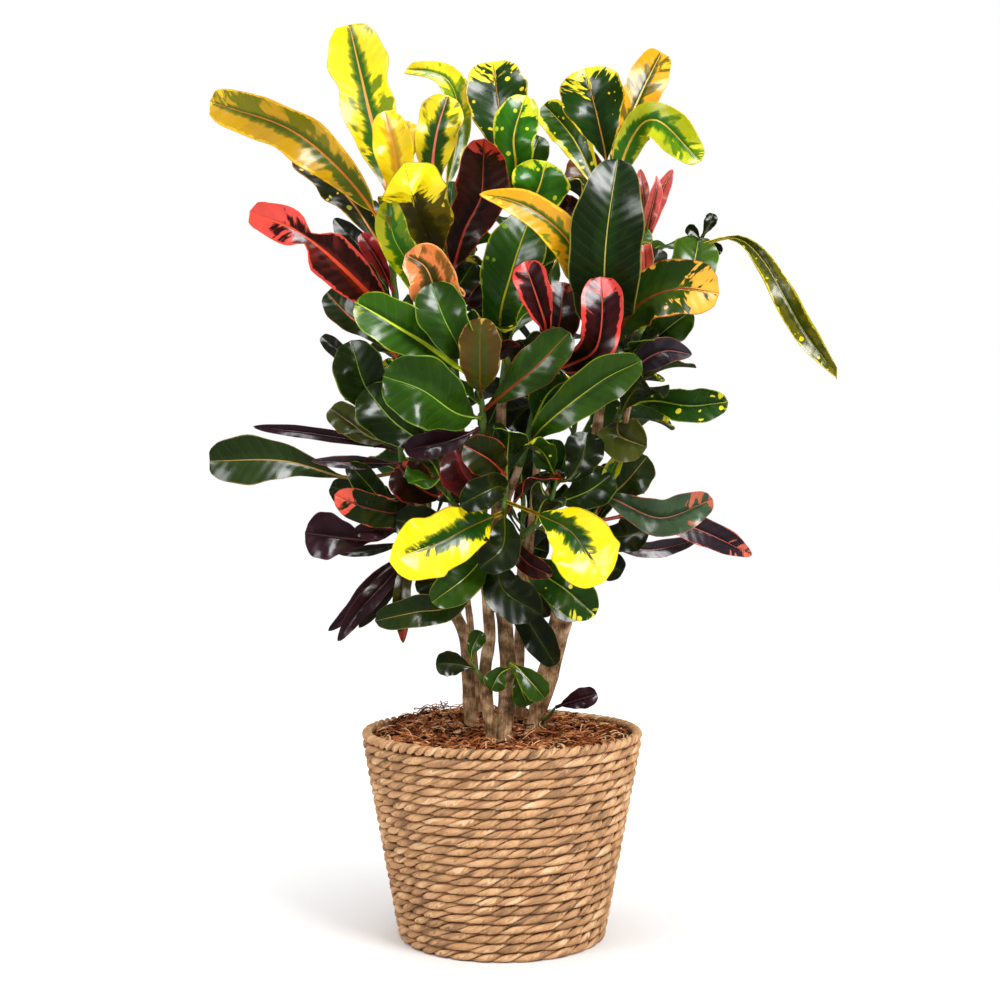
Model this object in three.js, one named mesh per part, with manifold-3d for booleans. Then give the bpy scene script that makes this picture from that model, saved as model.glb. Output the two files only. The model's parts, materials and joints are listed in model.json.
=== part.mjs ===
// A potted croton: several woody stems with waved, many-coloured leaves, in a nursery
// pot inside a woven rope basket, under a mulch of coir fibre.
// Millimetres, +Z up. The origin is the middle of the basket's flat underside.
import * as THREE from 'three';
import { mergeVertices } from 'three/addons/utils/BufferGeometryUtils.js';
import Module from 'manifold-3d';

const wasm = await Module();
wasm.setup();

// ---- driving dimensions ----
const GAP = 0.3;                  // clearance between pieces that touch
const BASKET_HEIGHT = 205;        // floor to the crown of the rim rope
const BASKET_BASE_RADIUS = 103;
const BASKET_RIM_RADIUS = 139.5;  // outside of the rim rope
const BASKET_WALL = 9;            // one thickness of twisted rope
const BASKET_ROWS = 21;           // rope rows wound up the wall
const ROPE_RELIEF = 1.5;          // groove between two rows
const RIM_ROPE = 10;              // diameter of the rim rope
const BASKET_SIDES = 20;
const POT_SIDES = 18;
const RIM_SIDES = 6;
const BASKET_FLOOR = 7;

const POT_BASE_RADIUS = 84;
const POT_TOP_RADIUS = 110;
const POT_TOP = 184;
const POT_WALL = 1.8;
const POT_LIP = 4;
const POT_LIP_HEIGHT = 7;
const DRAIN_HOLE_RADIUS = 6;
const DRAIN_HOLES = 4;

const SOIL_TOP = 176;
const MULCH_TOP = 196;            // at the basket wall
const MULCH_MOUND = 11;           // extra height behind, on the left
const MULCH_RELIEF = 1.4;

const BLADE_EDGE = 1.0;           // thickness of a leaf at its margin
const BLADE_RIB = 1.7;            // thickness over the midrib
const PETIOLE = 1.5;              // half width of a leaf stalk
const CLEARANCE = 0.7;            // added to each face of a leaf when it is set clear of others

// ---- the front view ----
// Stems and leaves are laid out on an upright sheet through the pot's axis, 1000 mm wide and
// high, u to the right and v downwards, as an eye at EYE sees them. The third number of a
// point is its depth behind the sheet: the point slides along the line of sight by it.
const EYE_DISTANCE = 1500;
const EYE = new THREE.Vector3(0, -EYE_DISTANCE, 432);
const AXIS_U = 502;
const HORIZON_V = 500;

function seen([u, v, depth]) {
  const place = new THREE.Vector3(u - AXIS_U, 0, EYE.z + HORIZON_V - v);
  return place.sub(EYE).multiplyScalar((EYE_DISTANCE + depth) / EYE_DISTANCE).add(EYE);
}

// ---- stems ----
// Each stem runs from its trunk or the soil to a leafy tip. It is wood up to the fraction
// green, and a green shoot from there on. radius: at the start and at the tip.
const STEMS = {
  left_crown: {
    trunk: 'trunk_left', green: 0.72, radius: [7.5, 2.6], path: [[478, 800, 24],
      [471, 728, 24], [465, 640, 22], [455, 612, 20], [437, 560, 10], [418, 490, -2],
      [408, 410, -10], [402, 345, -14], [394, 285, -16], [388, 215, -18]],
  },
  left: {
    trunk: 'trunk_left', green: 0.45, radius: [4.5, 2.2], path: [[425, 518, 3],
      [410, 488, -14], [402, 462, -26], [398, 425, -32]],
  },
  left_low: {
    trunk: 'trunk_left', green: 0.42, radius: [4.5, 2.2], path: [[440, 567, 11],
      [424, 552, -12], [410, 540, -26], [396, 528, -34]],
  },
  centre_left: {
    trunk: 'trunk_front', green: 0.7, radius: [7, 2.6], path: [[498, 790, -58],
      [492, 735, -56], [485, 680, -48], [489, 635, -42], [486, 585, -36], [474, 520, -28],
      [462, 440, -22], [455, 370, -18], [449, 300, -18], [440, 205, -20]],
  },
  centre: {
    trunk: 'trunk_front', green: 0.66, radius: [9.5, 2.6], path: [[501, 800, -60],
      [502, 742, -58], [508, 690, -46], [506, 635, -34], [500, 575, -22], [497, 510, -8],
      [500, 430, 4], [508, 340, 8], [512, 265, 4], [515, 195, 2]],
  },
  centre_front: {
    trunk: 'trunk_front', green: 0.4, radius: [4.5, 2.2], path: [[466, 470, -24],
      [480, 440, -44], [482, 405, -54], [470, 366, -58]],
  },
  front_low: {
    trunk: 'trunk_front', green: 0.35, radius: [4.5, 2.4], path: [[488, 602, -38],
      [494, 565, -54], [503, 520, -64], [507, 474, -70]],
  },
  centre_right: {
    trunk: 'trunk_front', green: 0.35, radius: [4.5, 2.2], path: [[498, 520, -10],
      [518, 470, -32], [532, 420, -44], [543, 350, -50]],
  },
  right_crown: {
    trunk: 'trunk_right', green: 0.7, radius: [10, 2.6], path: [[530, 800, 34],
      [535, 728, 32], [541, 690, 28], [553, 640, 20], [563, 590, 16], [576, 530, 14],
      [589, 470, 14], [600, 410, 12], [605, 330, 10], [607, 195, 8]],
  },
  right_low: {
    trunk: 'trunk_right', green: 0.45, radius: [4.5, 2.2], path: [[562, 595, 16],
      [580, 562, -4], [590, 535, -16], [597, 505, -22]],
  },
  right_mid: {
    trunk: 'trunk_right', green: 0.4, radius: [4.5, 2.2], path: [[592, 455, 13],
      [612, 428, -4], [624, 400, -12], [626, 362, -16]],
  },
  far_right: {
    trunk: 'trunk_right', green: 0.76, radius: [4.5, 2.4], path: [[536, 725, 32],
      [550, 690, 22], [566, 630, 34], [588, 565, 40], [612, 480, 40], [630, 400, 36],
      [641, 330, 30], [645, 240, 24]],
  },
  spiky: {
    trunk: 'trunk_right', green: 0.5, radius: [3.4, 1.9], path: [[632, 392, 36],
      [652, 340, 50], [676, 285, 56], [702, 238, 50]],
  },
  back: {
    trunk: 'trunk_back', green: 0.66, radius: [6.5, 2.6], path: [[522, 790, 70],
      [521, 720, 68], [519, 650, 62], [527, 570, 62], [536, 480, 66], [542, 400, 70],
      [546, 320, 74], [552, 238, 72]],
  },
  back_right: {
    trunk: 'trunk_back', green: 0.45, radius: [4.2, 2.2], path: [[532, 520, 65],
      [556, 478, 96], [572, 440, 112], [580, 380, 118]],
  },
  back_low: {
    trunk: 'trunk_back', green: 0.4, radius: [4.2, 2.2], path: [[522, 610, 62],
      [520, 575, 90], [522, 540, 108], [524, 490, 114]],
  },
  back_left: {
    trunk: 'trunk_back_left', green: 0.66, radius: [4.2, 2.4], path: [[484, 790, 70],
      [479, 722, 68], [474, 660, 66], [466, 590, 76], [452, 510, 92], [442, 430, 98],
      [440, 350, 94], [446, 270, 84]],
  },
  back_left_low: {
    trunk: 'trunk_back_left', green: 0.4, radius: [3.6, 2.2], path: [[462, 560, 80],
      [440, 535, 104], [428, 505, 116], [424, 460, 118]],
  },
  mid_left: {
    trunk: 'trunk_front', green: 0.35, radius: [4.2, 2.2], path: [[476, 535, -30],
      [462, 514, -52], [447, 492, -64], [438, 458, -70]],
  },
  mid_right: {
    trunk: 'trunk_front', green: 0.35, radius: [4.2, 2.2], path: [[499, 560, -20],
      [522, 537, -42], [546, 512, -52], [558, 474, -56]],
  },
  sprout_left: {
    trunk: 'trunk_front', green: 0.3, radius: [2.6, 1.6], path: [[486, 690, -50],
      [479, 674, -62], [472, 662, -68]],
  },
  sprout_front: {
    trunk: 'trunk_front', green: 0.3, radius: [2.6, 1.6], path: [[508, 682, -44],
      [514, 672, -62], [509, 662, -72]],
  },
  sprout_right: {
    trunk: 'trunk_right', green: 0.3, radius: [2.6, 1.6], path: [[538, 722, 32],
      [549, 716, 16], [556, 706, 8]],
  },
};
// A sawn-off limb, cut square, on the right trunk.
const STUB = { radius: 6, path: [[549, 664, 20], [559, 645, 14], [567, 621, 10]] };

// ---- leaves ----
// stem and at: the shoot that carries the leaf, and how far up its green part. way: points
// of the midrib on the front view, the last one the tip. wide: blade width. roll and twist
// in degrees turn the blade about its rib, cup lifts its margins and wave ripples them.
const FORMS = {
  spoon: { rise: 1.35, full: 0.52, tip: 0.32, stalk: 0.14 },
  paddle: { rise: 1.8, full: 0.55, tip: 0.34, stalk: 0.3 },
  lance: { rise: 1.2, full: 0.8, tip: 0.12, stalk: 0.12 },
};
const COLOURS = {
  yellow: 0xf2dc1e, gold: 0xb9912a, lime: 0x6fae1c, green: 0x23561b, dark: 0x1a3318,
  red: 0xb5333a, maroon: 0x3d1718, purple: 0x3a2230, peach: 0xe8935a, bronze: 0x5e4a18,
  olive: 0x56531a, salmon: 0xd9705c,
};

function leaf(name, stem, at, way, wide, colour, look = {}) {
  return { name, stem, at, way, wide, colour, form: 'spoon', roll: 0, twist: 0, cup: 0.18,
    wave: 0.1, notch: 0, own: false, ...look };
}

const LEAVES = [
  leaf('crest', 'left_crown', 1, [[384, 168, -20], [369, 110, -10], [350, 27, 12]], 62,
    'yellow', { own: true, notch: 0.2, wave: 0.12 }),
  leaf('gold_sweep', 'left_crown', 0.9, [[340, 170, -50], [285, 127, -72], [208, 104, -84]], 44,
    'gold', { own: true, wave: 0.16, roll: -12 }),
  leaf('left_dark', 'left_crown', 0.7, [[356, 208, -24], [326, 174, -14], [298, 146, 4]], 46,
    'dark', { roll: 18, notch: 0.2 }),
  leaf('red_tongue', 'left_crown', 0.3, [[345, 270, -60], [300, 233, -86], [252, 212, -104]], 50,
    'red', { own: true, notch: 0.42, cup: 0.1 }),
  leaf('lime_tongue', 'centre_left', 0.2, [[410, 266, -66], [393, 235, -84], [389, 201, -96]],
    32, 'lime', { own: true }),
  leaf('peach_curl', 'centre_left', 0.42, [[438, 296, -60], [426, 268, -84], [408, 256, -94]],
    46, 'peach', { own: true, cup: 0.35 }),
  leaf('yellow_tongue', 'left_crown', 0.95, [[398, 186, -44], [394, 150, -60], [385, 111, -70]],
    38, 'yellow', { own: true }),
  leaf('gold_cup', 'centre_left', 0.62, [[428, 236, -64], [416, 206, -92], [404, 156, -104]], 66,
    'gold', { own: true, cup: 0.4 }),
  leaf('left_rib', 'left_crown', 0.06, [[374, 334, -20], [349, 316, -6], [324, 289, 10]], 30,
    'dark'),
  leaf('red_stripe', 'left_crown', 0.5, [[380, 264, -34], [361, 234, -44]], 19, 'red'),
  leaf('left_spear', 'left_crown', 0.4, [[368, 258, -8], [331, 215, 14]], 24, 'maroon',
    { form: 'lance' }),
  leaf('small_blue', 'centre_left', 0.8, [[449, 216, -24], [453, 180, -20]], 19, 'green'),
  leaf('lime_rib', 'centre_front', 0.8, [[428, 346, -88], [396, 326, -112], [358, 302, -128]], 46,
    'lime', { roll: 8 }),
  leaf('gloss_upright', 'centre_front', 1, [[455, 340, -74], [443, 316, -84], [431, 283, -88]],
    46, 'green', { cup: 0.3 }),
  leaf('big_front', 'centre_front', 0.2, [[456, 413, -96], [422, 390, -128], [386, 377, -142]],
    62, 'green', { cup: 0.25 }),
  leaf('bronze', 'centre_front', 0.5, [[480, 372, -96], [480, 320, -118]], 40, 'bronze',
    { own: true, wave: 0.03 }),
  leaf('yellow_rib', 'centre', 0.12, [[500, 320, -40], [512, 270, -62], [530, 212, -70]], 56,
    'green', { roll: -10 }),
  leaf('pink_rib', 'centre_left', 1, [[433, 168, -26], [437, 132, -34], [448, 95, -40]], 46,
    'yellow', { own: true, notch: 0.15 }),
  leaf('saddle', 'centre_left', 0.96, [[458, 128, 6], [448, 80, 24], [404, 60, 40]], 28,
    'yellow', { own: true, roll: 30 }),
  leaf('maroon_top', 'centre_left', 0.5, [[464, 232, -34], [482, 192, -46], [476, 142, -52]],
    50, 'maroon', { own: true, cup: 0.3 }),
  leaf('spotted_top', 'centre', 1, [[507, 150, -2], [500, 112, 4], [492, 58, 10]], 62,
    'green', { wave: 0.12 }),
  leaf('lime_top', 'centre', 0.9, [[516, 168, -30], [514, 135, -44], [526, 95, -52]], 42,
    'lime'),
  leaf('round_top', 'centre', 0.72, [[524, 214, -28], [538, 190, -44], [546, 163, -56]], 56,
    'green', { form: 'paddle' }),
  leaf('ribbon', 'right_crown', 0.5, [[584, 273, -64], [566, 238, -92], [530, 208, -108],
    [484, 188, -118]], 34, 'gold', { own: true, form: 'lance', twist: 80, roll: -30 }),
  leaf('lime_low', 'centre', 0.5, [[532, 252, -44], [564, 238, -66]], 38, 'lime'),
  leaf('spotted_right', 'right_crown', 1, [[606, 160, -24], [600, 128, -44], [585, 68, -58]],
    62, 'green', { form: 'paddle' }),
  leaf('spotted_left', 'right_crown', 0.93, [[580, 150, 14], [562, 124, 28], [541, 102, 36]], 36,
    'yellow'),
  leaf('big_right', 'right_crown', 0.16, [[604, 288, -58], [607, 232, -88], [618, 158, -100]],
    68, 'dark', { cup: 0.22 }),
  leaf('gold_right', 'right_crown', 0.98, [[622, 140, 16], [641, 94, 30], [664, 47, 40]], 40,
    'gold', { own: true }),
  leaf('droop_right', 'right_crown', 0.9, [[630, 142, -18], [656, 120, -42], [698, 158, -60]],
    36, 'lime', { own: true }),
  leaf('brown_right', 'right_crown', 0.75, [[596, 205, 14], [588, 178, 30], [573, 153, 42]], 40,
    'bronze', { own: true }),
  leaf('crimson_front', 'centre_right', 0.95, [[546, 330, -82], [539, 304, -98],
    [525, 263, -112]], 32, 'red', { own: true, cup: 0.35, form: 'paddle' }),
  leaf('crimson_right', 'centre_right', 0.8, [[571, 364, -66], [595, 350, -92],
    [602, 318, -104], [601, 277, -110]], 40, 'red', { own: true, cup: 0.3 }),
  leaf('salmon_sliver', 'far_right', 0.3, [[644, 280, 0], [644, 235, -8]], 18, 'salmon'),
  leaf('tuft_left', 'far_right', 0.95, [[644, 205, 18], [640, 168, 16]], 14, 'red',
    { form: 'lance' }),
  leaf('tuft_middle', 'far_right', 0.98, [[651, 212, 16], [660, 176, 14]], 15, 'red',
    { form: 'lance', twist: 60 }),
  leaf('tuft_right', 'far_right', 0.9, [[656, 206, 12], [673, 168, 10]], 16, 'red',
    { form: 'lance' }),
  leaf('right_pale', 'far_right', 0.2, [[672, 300, 20], [692, 268, 34], [700, 233, 46]], 48,
    'green'),
  leaf('right_small', 'far_right', 0.6, [[651, 268, 20], [659, 248, 28]], 24, 'dark'),
  leaf('orange_tip', 'right_crown', 0.08, [[638, 306, -48], [675, 289, -72], [717, 290, -86]],
    56, 'green', { own: true, cup: 0.3, roll: -14 }),
  leaf('right_long', 'right_mid', 0.9, [[646, 348, -26], [668, 328, -40], [691, 311, -50]], 36,
    'green'),
  leaf('right_grey', 'right_mid', 0.7, [[645, 360, -44], [666, 351, -60], [690, 354, -70]], 28,
    'purple', { form: 'lance' }),
  leaf('right_spotted', 'right_mid', 0.3, [[654, 401, -30], [690, 406, -56], [726, 402, -70]],
    33, 'green', { wave: 0.16 }),
  leaf('long_front', 'centre_right', 0.12, [[546, 424, -84], [600, 382, -110],
    [640, 363, -124]], 42, 'green', { roll: 8 }),
  leaf('red_rib', 'centre_front', 0.3, [[506, 392, -80], [536, 367, -98], [568, 332, -108]], 40,
    'green', { roll: -8 }),
  leaf('purple_mid', 'centre_front', 0.05, [[452, 440, -66], [407, 450, -88]], 26, 'purple'),
  leaf('maroon_round', 'front_low', 0.92, [[478, 484, -84], [464, 474, -96], [456, 451, -102]],
    42, 'maroon'),
  leaf('small_red_rib', 'front_low', 0.98, [[490, 460, -98], [466, 446, -116]], 38, 'green'),
  leaf('small_low', 'front_low', 0.8, [[496, 487, -102], [462, 504, -118]], 30, 'green'),
  leaf('left_long', 'left', 0.95, [[384, 412, -52], [364, 384, -68], [351, 341, -76]], 48,
    'dark'),
  leaf('left_grey', 'left_crown', 0.02, [[360, 366, 0], [319, 334, 20]], 17, 'dark'),
  leaf('left_purple', 'left_crown', 0.12, [[384, 374, -40], [354, 343, -52]], 13, 'purple',
    { form: 'lance' }),
  leaf('left_olive', 'left', 0.7, [[372, 438, -10], [352, 424, 8], [328, 406, 22]], 30,
    'olive'),
  leaf('left_thread', 'left', 0.5, [[378, 445, -6], [318, 434, 16], [248, 426, 34]], 13,
    'purple', { form: 'lance' }),
  leaf('left_arm', 'left', 0.15, [[350, 478, -40], [284, 461, -64], [207, 461, -80]], 46,
    'green', { form: 'paddle', wave: 0.1 }),
  leaf('left_band', 'left', 0.3, [[368, 463, -56], [314, 461, -80]], 13, 'purple',
    { form: 'lance' }),
  leaf('left_under', 'left_low', 0.8, [[376, 494, -44], [350, 465, -64]], 25, 'green'),
  leaf('left_dark_low', 'left_low', 0.6, [[360, 502, 0], [328, 484, 14]], 28, 'dark'),
  leaf('salmon_edge', 'left', 0.02, [[404, 511, -60], [371, 509, -84], [337, 498, -100]], 33,
    'dark', { own: true, roll: -12 }),
  leaf('purple_spoon', 'left_low', 0.98, [[376, 540, -46], [345, 538, -60], [306, 533, -70]],
    45, 'purple', { own: true, form: 'paddle', wave: 0.04 }),
  leaf('purple_small', 'left_low', 0.9, [[380, 530, -70], [356, 531, -84]], 17, 'purple'),
  leaf('grey_wave', 'left_low', 0.5, [[372, 550, -22], [336, 553, -14]], 11, 'dark',
    { form: 'lance' }),
  leaf('droop_far', 'left_low', 0.34, [[372, 582, -10], [350, 612, 4], [326, 633, 10]], 15,
    'purple', { form: 'lance' }),
  leaf('droop_mid', 'left_low', 0.24, [[384, 584, -46], [358, 612, -60], [338, 641, -66]], 19,
    'purple', { form: 'lance' }),
  leaf('droop_near', 'left_low', 0.12, [[388, 592, 4], [372, 612, 16], [357, 630, 22]], 14,
    'dark', { form: 'lance' }),
  leaf('droop_olive', 'left_low', 0.16, [[403, 584, -60], [403, 643, -66]], 17, 'olive',
    { form: 'lance' }),
  leaf('low_long', 'front_low', 0.02, [[454, 604, -72], [416, 612, -92], [377, 619, -104]], 30,
    'green', { roll: 10 }),
  leaf('yellow_left', 'front_low', 0.55, [[470, 527, -106], [432, 546, -132],
    [388, 557, -146]], 58, 'yellow', { own: true, wave: 0.08 }),
  leaf('low_bright', 'front_low', 0.3, [[470, 573, -92], [434, 601, -112]], 36, 'lime'),
  leaf('low_dark', 'front_low', 0.15, [[502, 588, -88], [538, 613, -106]], 42, 'dark'),
  leaf('low_purple', 'front_low', 0.4, [[524, 560, -92], [550, 575, -104]], 20, 'purple'),
  leaf('yellow_right', 'front_low', 0.68, [[544, 517, -102], [575, 536, -128],
    [599, 583, -140]], 62, 'yellow', { own: true, form: 'paddle', wave: 0.06 }),
  leaf('low_right', 'front_low', 0.22, [[540, 572, -72], [566, 590, -90], [594, 614, -100]], 40,
    'green'),
  leaf('centre_dark', 'front_low', 0.6, [[503, 546, -96], [482, 566, -110]], 36, 'dark'),
  leaf('low_hidden', 'right_low', 0.1, [[566, 600, -30], [590, 604, -40]], 34, 'dark'),
  leaf('left_broad', 'mid_left', 1, [[424, 444, -74], [392, 420, -84], [366, 388, -88]], 50,
    'dark'),
  leaf('inner_brown', 'mid_left', 0.5, [[436, 496, -60], [414, 484, -70], [398, 466, -74]], 40,
    'maroon'),
  leaf('inner_dark', 'mid_left', 0.1, [[444, 520, -56], [420, 524, -66], [396, 520, -70]], 36,
    'dark'),
  leaf('mid_dark', 'mid_right', 0.9, [[570, 478, -58], [582, 458, -62], [588, 432, -60]], 38,
    'dark'),
  leaf('mid_broad', 'mid_right', 0.6, [[566, 500, -50], [590, 490, -58], [612, 474, -60]], 38,
    'dark'),
  leaf('mid_low', 'mid_right', 0.2, [[550, 532, -44], [576, 540, -54], [600, 546, -58]], 36,
    'dark'),
  leaf('low_hanging', 'front_low', 0.08, [[524, 612, -56], [540, 640, -60], [556, 666, -60]],
    30, 'dark'),
  leaf('right_arm', 'right_low', 0.95, [[610, 498, -50], [660, 518, -74], [711, 500, -90]],
    36, 'green', { wave: 0.14 }),
  leaf('purple_blade', 'right_low', 0.7, [[650, 514, -10], [704, 532, 4], [756, 557, 16]],
    29, 'purple', { own: true, form: 'lance' }),
  leaf('right_grey_low', 'right_low', 0.4, [[646, 550, 6], [701, 539, 20]], 17, 'purple',
    { form: 'lance' }),
  leaf('right_round', 'right_low', 1, [[624, 484, -34], [646, 458, -52]], 40, 'dark'),
  leaf('right_olive', 'right_low', 0.55, [[618, 537, -46], [647, 529, -62]], 33, 'dark'),
  leaf('right_variegated', 'right_low', 0.98, [[607, 480, -52], [620, 455, -64]], 15, 'olive'),
  leaf('right_folded', 'right_mid', 0.05, [[620, 436, -40], [644, 446, -56]], 44, 'olive'),
  leaf('hanging', 'spiky', 0.9, [[735, 238, 40], [764, 262, 24], [803, 330, 0],
    [839, 377, -12]], 24, 'olive', { own: true, form: 'lance', wave: 0.2 }),
  leaf('spiky_up', 'spiky', 1, [[710, 222, 46], [713, 213, 46]], 13, 'dark'),
  leaf('spiky_down', 'spiky', 0.95, [[710, 246, 38], [722, 252, 36]], 13, 'dark'),
  leaf('spiky_left', 'spiky', 0.97, [[694, 232, 44], [686, 228, 44]], 12, 'dark'),
  leaf('sprout_tail', 'sprout_left', 0.7, [[455, 664, -70], [436, 664, -72]], 24, 'dark'),
  leaf('sprout_up', 'sprout_left', 1, [[472, 650, -68], [481, 631, -66]], 17, 'green'),
  leaf('sprout_round', 'sprout_front', 0.7, [[500, 674, -70], [491, 690, -72]], 22, 'green'),
  leaf('sprout_long', 'sprout_front', 0.95, [[520, 670, -76], [545, 698, -78]], 25, 'green'),
  leaf('sprout_under', 'sprout_front', 0.5, [[522, 692, -62], [528, 706, -62]], 22, 'green'),
  leaf('sprout_purple', 'sprout_right', 0.95, [[570, 702, 0], [597, 694, -2]], 21, 'purple'),
];

// Leaves deep among the shoots, which the photograph shows only between the others. They settle
// last, so that they move nothing.
const DEEP_LEAVES = [
  leaf('deep_centre', 'back', 0.02, [[528, 408, 60], [508, 428, 52]], 40, 'dark'),
  leaf('deep_stem', 'centre', 0.02, [[494, 412, 30], [484, 432, 34]], 26, 'dark'),
  leaf('deep_red', 'back', 0.35, [[558, 330, 56], [564, 282, 50]], 42, 'maroon'),
  leaf('deep_peach', 'back_left', 0.75, [[456, 290, 74], [474, 262, 66]], 42, 'dark'),
  leaf('deep_low_left', 'back_left_low', 0.05, [[444, 572, 88], [418, 590, 76]], 36, 'dark'),
  leaf('deep_low_right', 'back_low', 0.2, [[534, 548, 92], [548, 552, 84]], 34, 'dark'),
  leaf('deep_foot', 'back_low', 0.02, [[536, 592, 84], [548, 616, 76]], 32, 'dark'),
  leaf('deep_top', 'centre', 0.98, [[528, 168, 18], [540, 134, 24]], 30, 'green'),
  leaf('deep_brown', 'back', 0.98, [[560, 222, 60], [572, 196, 52]], 34, 'maroon'),
  leaf('deep_yellow', 'left_crown', 0.98, [[398, 160, 0], [410, 118, 10]], 30, 'yellow'),
  leaf('deep_right', 'right_low', 0.3, [[600, 560, 10], [624, 572, 14]], 30, 'dark'),
];

// Leaves that fill a shoot by rule: they go round it by the golden angle, from start, with a
// seeded draw for their length, climb and roll. turn is the middle of the sector that they fill and
// sweep its width, in degrees, where 90 points straight away from the eye.
const FILL = {
  left_crown: { count: 6, turn: 130, sweep: 200, length: [80, 110] },
  left: { count: 4, turn: 120, sweep: 160, length: [80, 105] },
  left_low: { count: 3, turn: 110, sweep: 140, length: [70, 95] },
  centre_left: { count: 6, turn: 90, sweep: 260, length: [75, 105] },
  centre: { count: 6, turn: 90, sweep: 280, length: [70, 100] },
  centre_front: { count: 4, turn: -90, sweep: 260, length: [60, 85] },
  front_low: { count: 5, turn: -90, sweep: 220, length: [65, 90] },
  centre_right: { count: 5, turn: -60, sweep: 260, length: [65, 95] },
  right_crown: { count: 7, turn: 60, sweep: 260, length: [75, 110] },
  right_low: { count: 4, turn: 30, sweep: 180, length: [70, 100] },
  right_mid: { count: 4, turn: 20, sweep: 180, length: [70, 95] },
  far_right: { count: 6, turn: 50, sweep: 220, length: [80, 110] },
  mid_left: { count: 6, turn: -130, sweep: 300, length: [65, 90] },
  mid_right: { count: 7, turn: -50, sweep: 320, length: [65, 90] },
  back: { count: 8, turn: 90, sweep: 320, length: [95, 135] },
  back_right: { count: 7, turn: 65, sweep: 260, length: [95, 135] },
  back_low: { count: 6, turn: 90, sweep: 240, length: [95, 130] },
  back_left: { count: 8, turn: 115, sweep: 300, length: [95, 135] },
  back_left_low: { count: 6, turn: 120, sweep: 250, length: [90, 125] },
};
const FILL_COLOURS = ['green', 'dark', 'green', 'lime', 'dark', 'green', 'maroon'];
const GOLDEN_ANGLE = 137.508;

// ---- solids ----
function solidFrom(positions, triangles) {
  let volume = 0;
  for (let i = 0; i < triangles.length; i += 3) {
    const [a, b, c] = [0, 1, 2].map((k) => positions[triangles[i + k]]);
    volume += a.dot(b.clone().cross(c));
  }
  const order = volume > 0 ? [0, 1, 2] : [0, 2, 1];
  const triVerts = new Uint32Array(triangles.length);
  for (let i = 0; i < triangles.length; i += 3) {
    order.forEach((from, k) => { triVerts[i + k] = triangles[i + from]; });
  }
  const vertProperties = new Float32Array(positions.flatMap((p) => [p.x, p.y, p.z]));
  return new wasm.Manifold(new wasm.Mesh({ numProp: 3, vertProperties, triVerts }));
}

function solidOf(geometry) {
  const plain = geometry.clone();
  plain.deleteAttribute('normal');
  plain.deleteAttribute('uv');
  const merged = mergeVertices(plain, 1e-4);
  const place = merged.getAttribute('position');
  const positions = [];
  for (let i = 0; i < place.count; i += 1) {
    positions.push(new THREE.Vector3().fromBufferAttribute(place, i));
  }
  const index = Array.from(merged.getIndex().array);
  const triangles = [];
  for (let i = 0; i < index.length; i += 3) {
    const [a, b, c] = index.slice(i, i + 3);
    if (a !== b && b !== c && a !== c) triangles.push(a, b, c);
  }
  return solidFrom(positions, triangles);
}

// A closed skin over rings of equal count, with a flat cap at both ends.
function loft(rings) {
  const count = rings[0].length;
  const triangles = [];
  for (let i = 0; i + 1 < rings.length; i += 1) {
    for (let j = 0; j < count; j += 1) {
      const a = i * count + j;
      const b = i * count + ((j + 1) % count);
      triangles.push(a, b, a + count, b, b + count, a + count);
    }
  }
  const last = (rings.length - 1) * count;
  for (let j = 1; j + 1 < count; j += 1) {
    triangles.push(0, j + 1, j, last, last + j, last + j + 1);
  }
  return solidFrom(rings.flat(), triangles);
}

function largest(solid) {
  const pieces = solid.decompose();
  return pieces.reduce((best, piece) => (piece.volume() > best.volume() ? piece : best));
}

function turned(geometry) {
  return geometry.rotateX(Math.PI / 2);
}

// ---- stems ----
const curves = {};
for (const [name, stem] of Object.entries(STEMS)) {
  curves[name] = new THREE.CatmullRomCurve3(stem.path.map(seen), false, 'catmullrom', 0.5);
}

function tube(curve, radiusAt, from, to, steps, sides) {
  const rings = [];
  let side = new THREE.Vector3(1, 0, 0);
  for (let i = 0; i <= steps; i += 1) {
    const s = from + ((to - from) * i) / steps;
    const centre = curve.getPointAt(s);
    const along = curve.getTangentAt(s);
    side = side.clone().addScaledVector(along, -side.dot(along)).normalize();
    const other = along.clone().cross(side);
    const ring = [];
    for (let j = 0; j < sides; j += 1) {
      const angle = (2 * Math.PI * j) / sides;
      const radius = radiusAt(s);
      ring.push(centre.clone()
        .addScaledVector(side, radius * Math.cos(angle))
        .addScaledVector(other, radius * Math.sin(angle)));
    }
    rings.push(ring);
  }
  return loft(rings);
}

function stemRadius(stem, s) {
  return stem.radius[0] + (stem.radius[1] - stem.radius[0]) * s;
}

const WOOD_STEP = 56;
const SHOOT_STEP = 42;
const WOOD_SIDES = 7;
const SHOOT_SIDES = 5;

function woodTube(name, extra = 0) {
  const stem = STEMS[name];
  const steps = Math.max(2, Math.round((curves[name].getLength() * stem.green) / WOOD_STEP));
  return tube(curves[name], (s) => stemRadius(stem, s) + extra, 0, stem.green, steps,
    stem.radius[0] > 5 ? WOOD_SIDES : SHOOT_SIDES);
}

function shootTube(name, extra = 0) {
  const stem = STEMS[name];
  const length = curves[name].getLength();
  const from = stem.green + GAP / length;
  const steps = Math.max(2, Math.round((length * (1 - from)) / SHOOT_STEP));
  return tube(curves[name], (s) => stemRadius(stem, s) + extra, from, 1, steps, SHOOT_SIDES);
}

// ---- leaves ----
const SEGMENT = 48;               // a step along a blade
const MOST_SEGMENTS = 4;
const FILL_SEGMENTS = 3;
const ROOT = 7;                   // leaves may meet within this length of their shoot
const NARROW = 32;                // blades under this width are flat across

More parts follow.
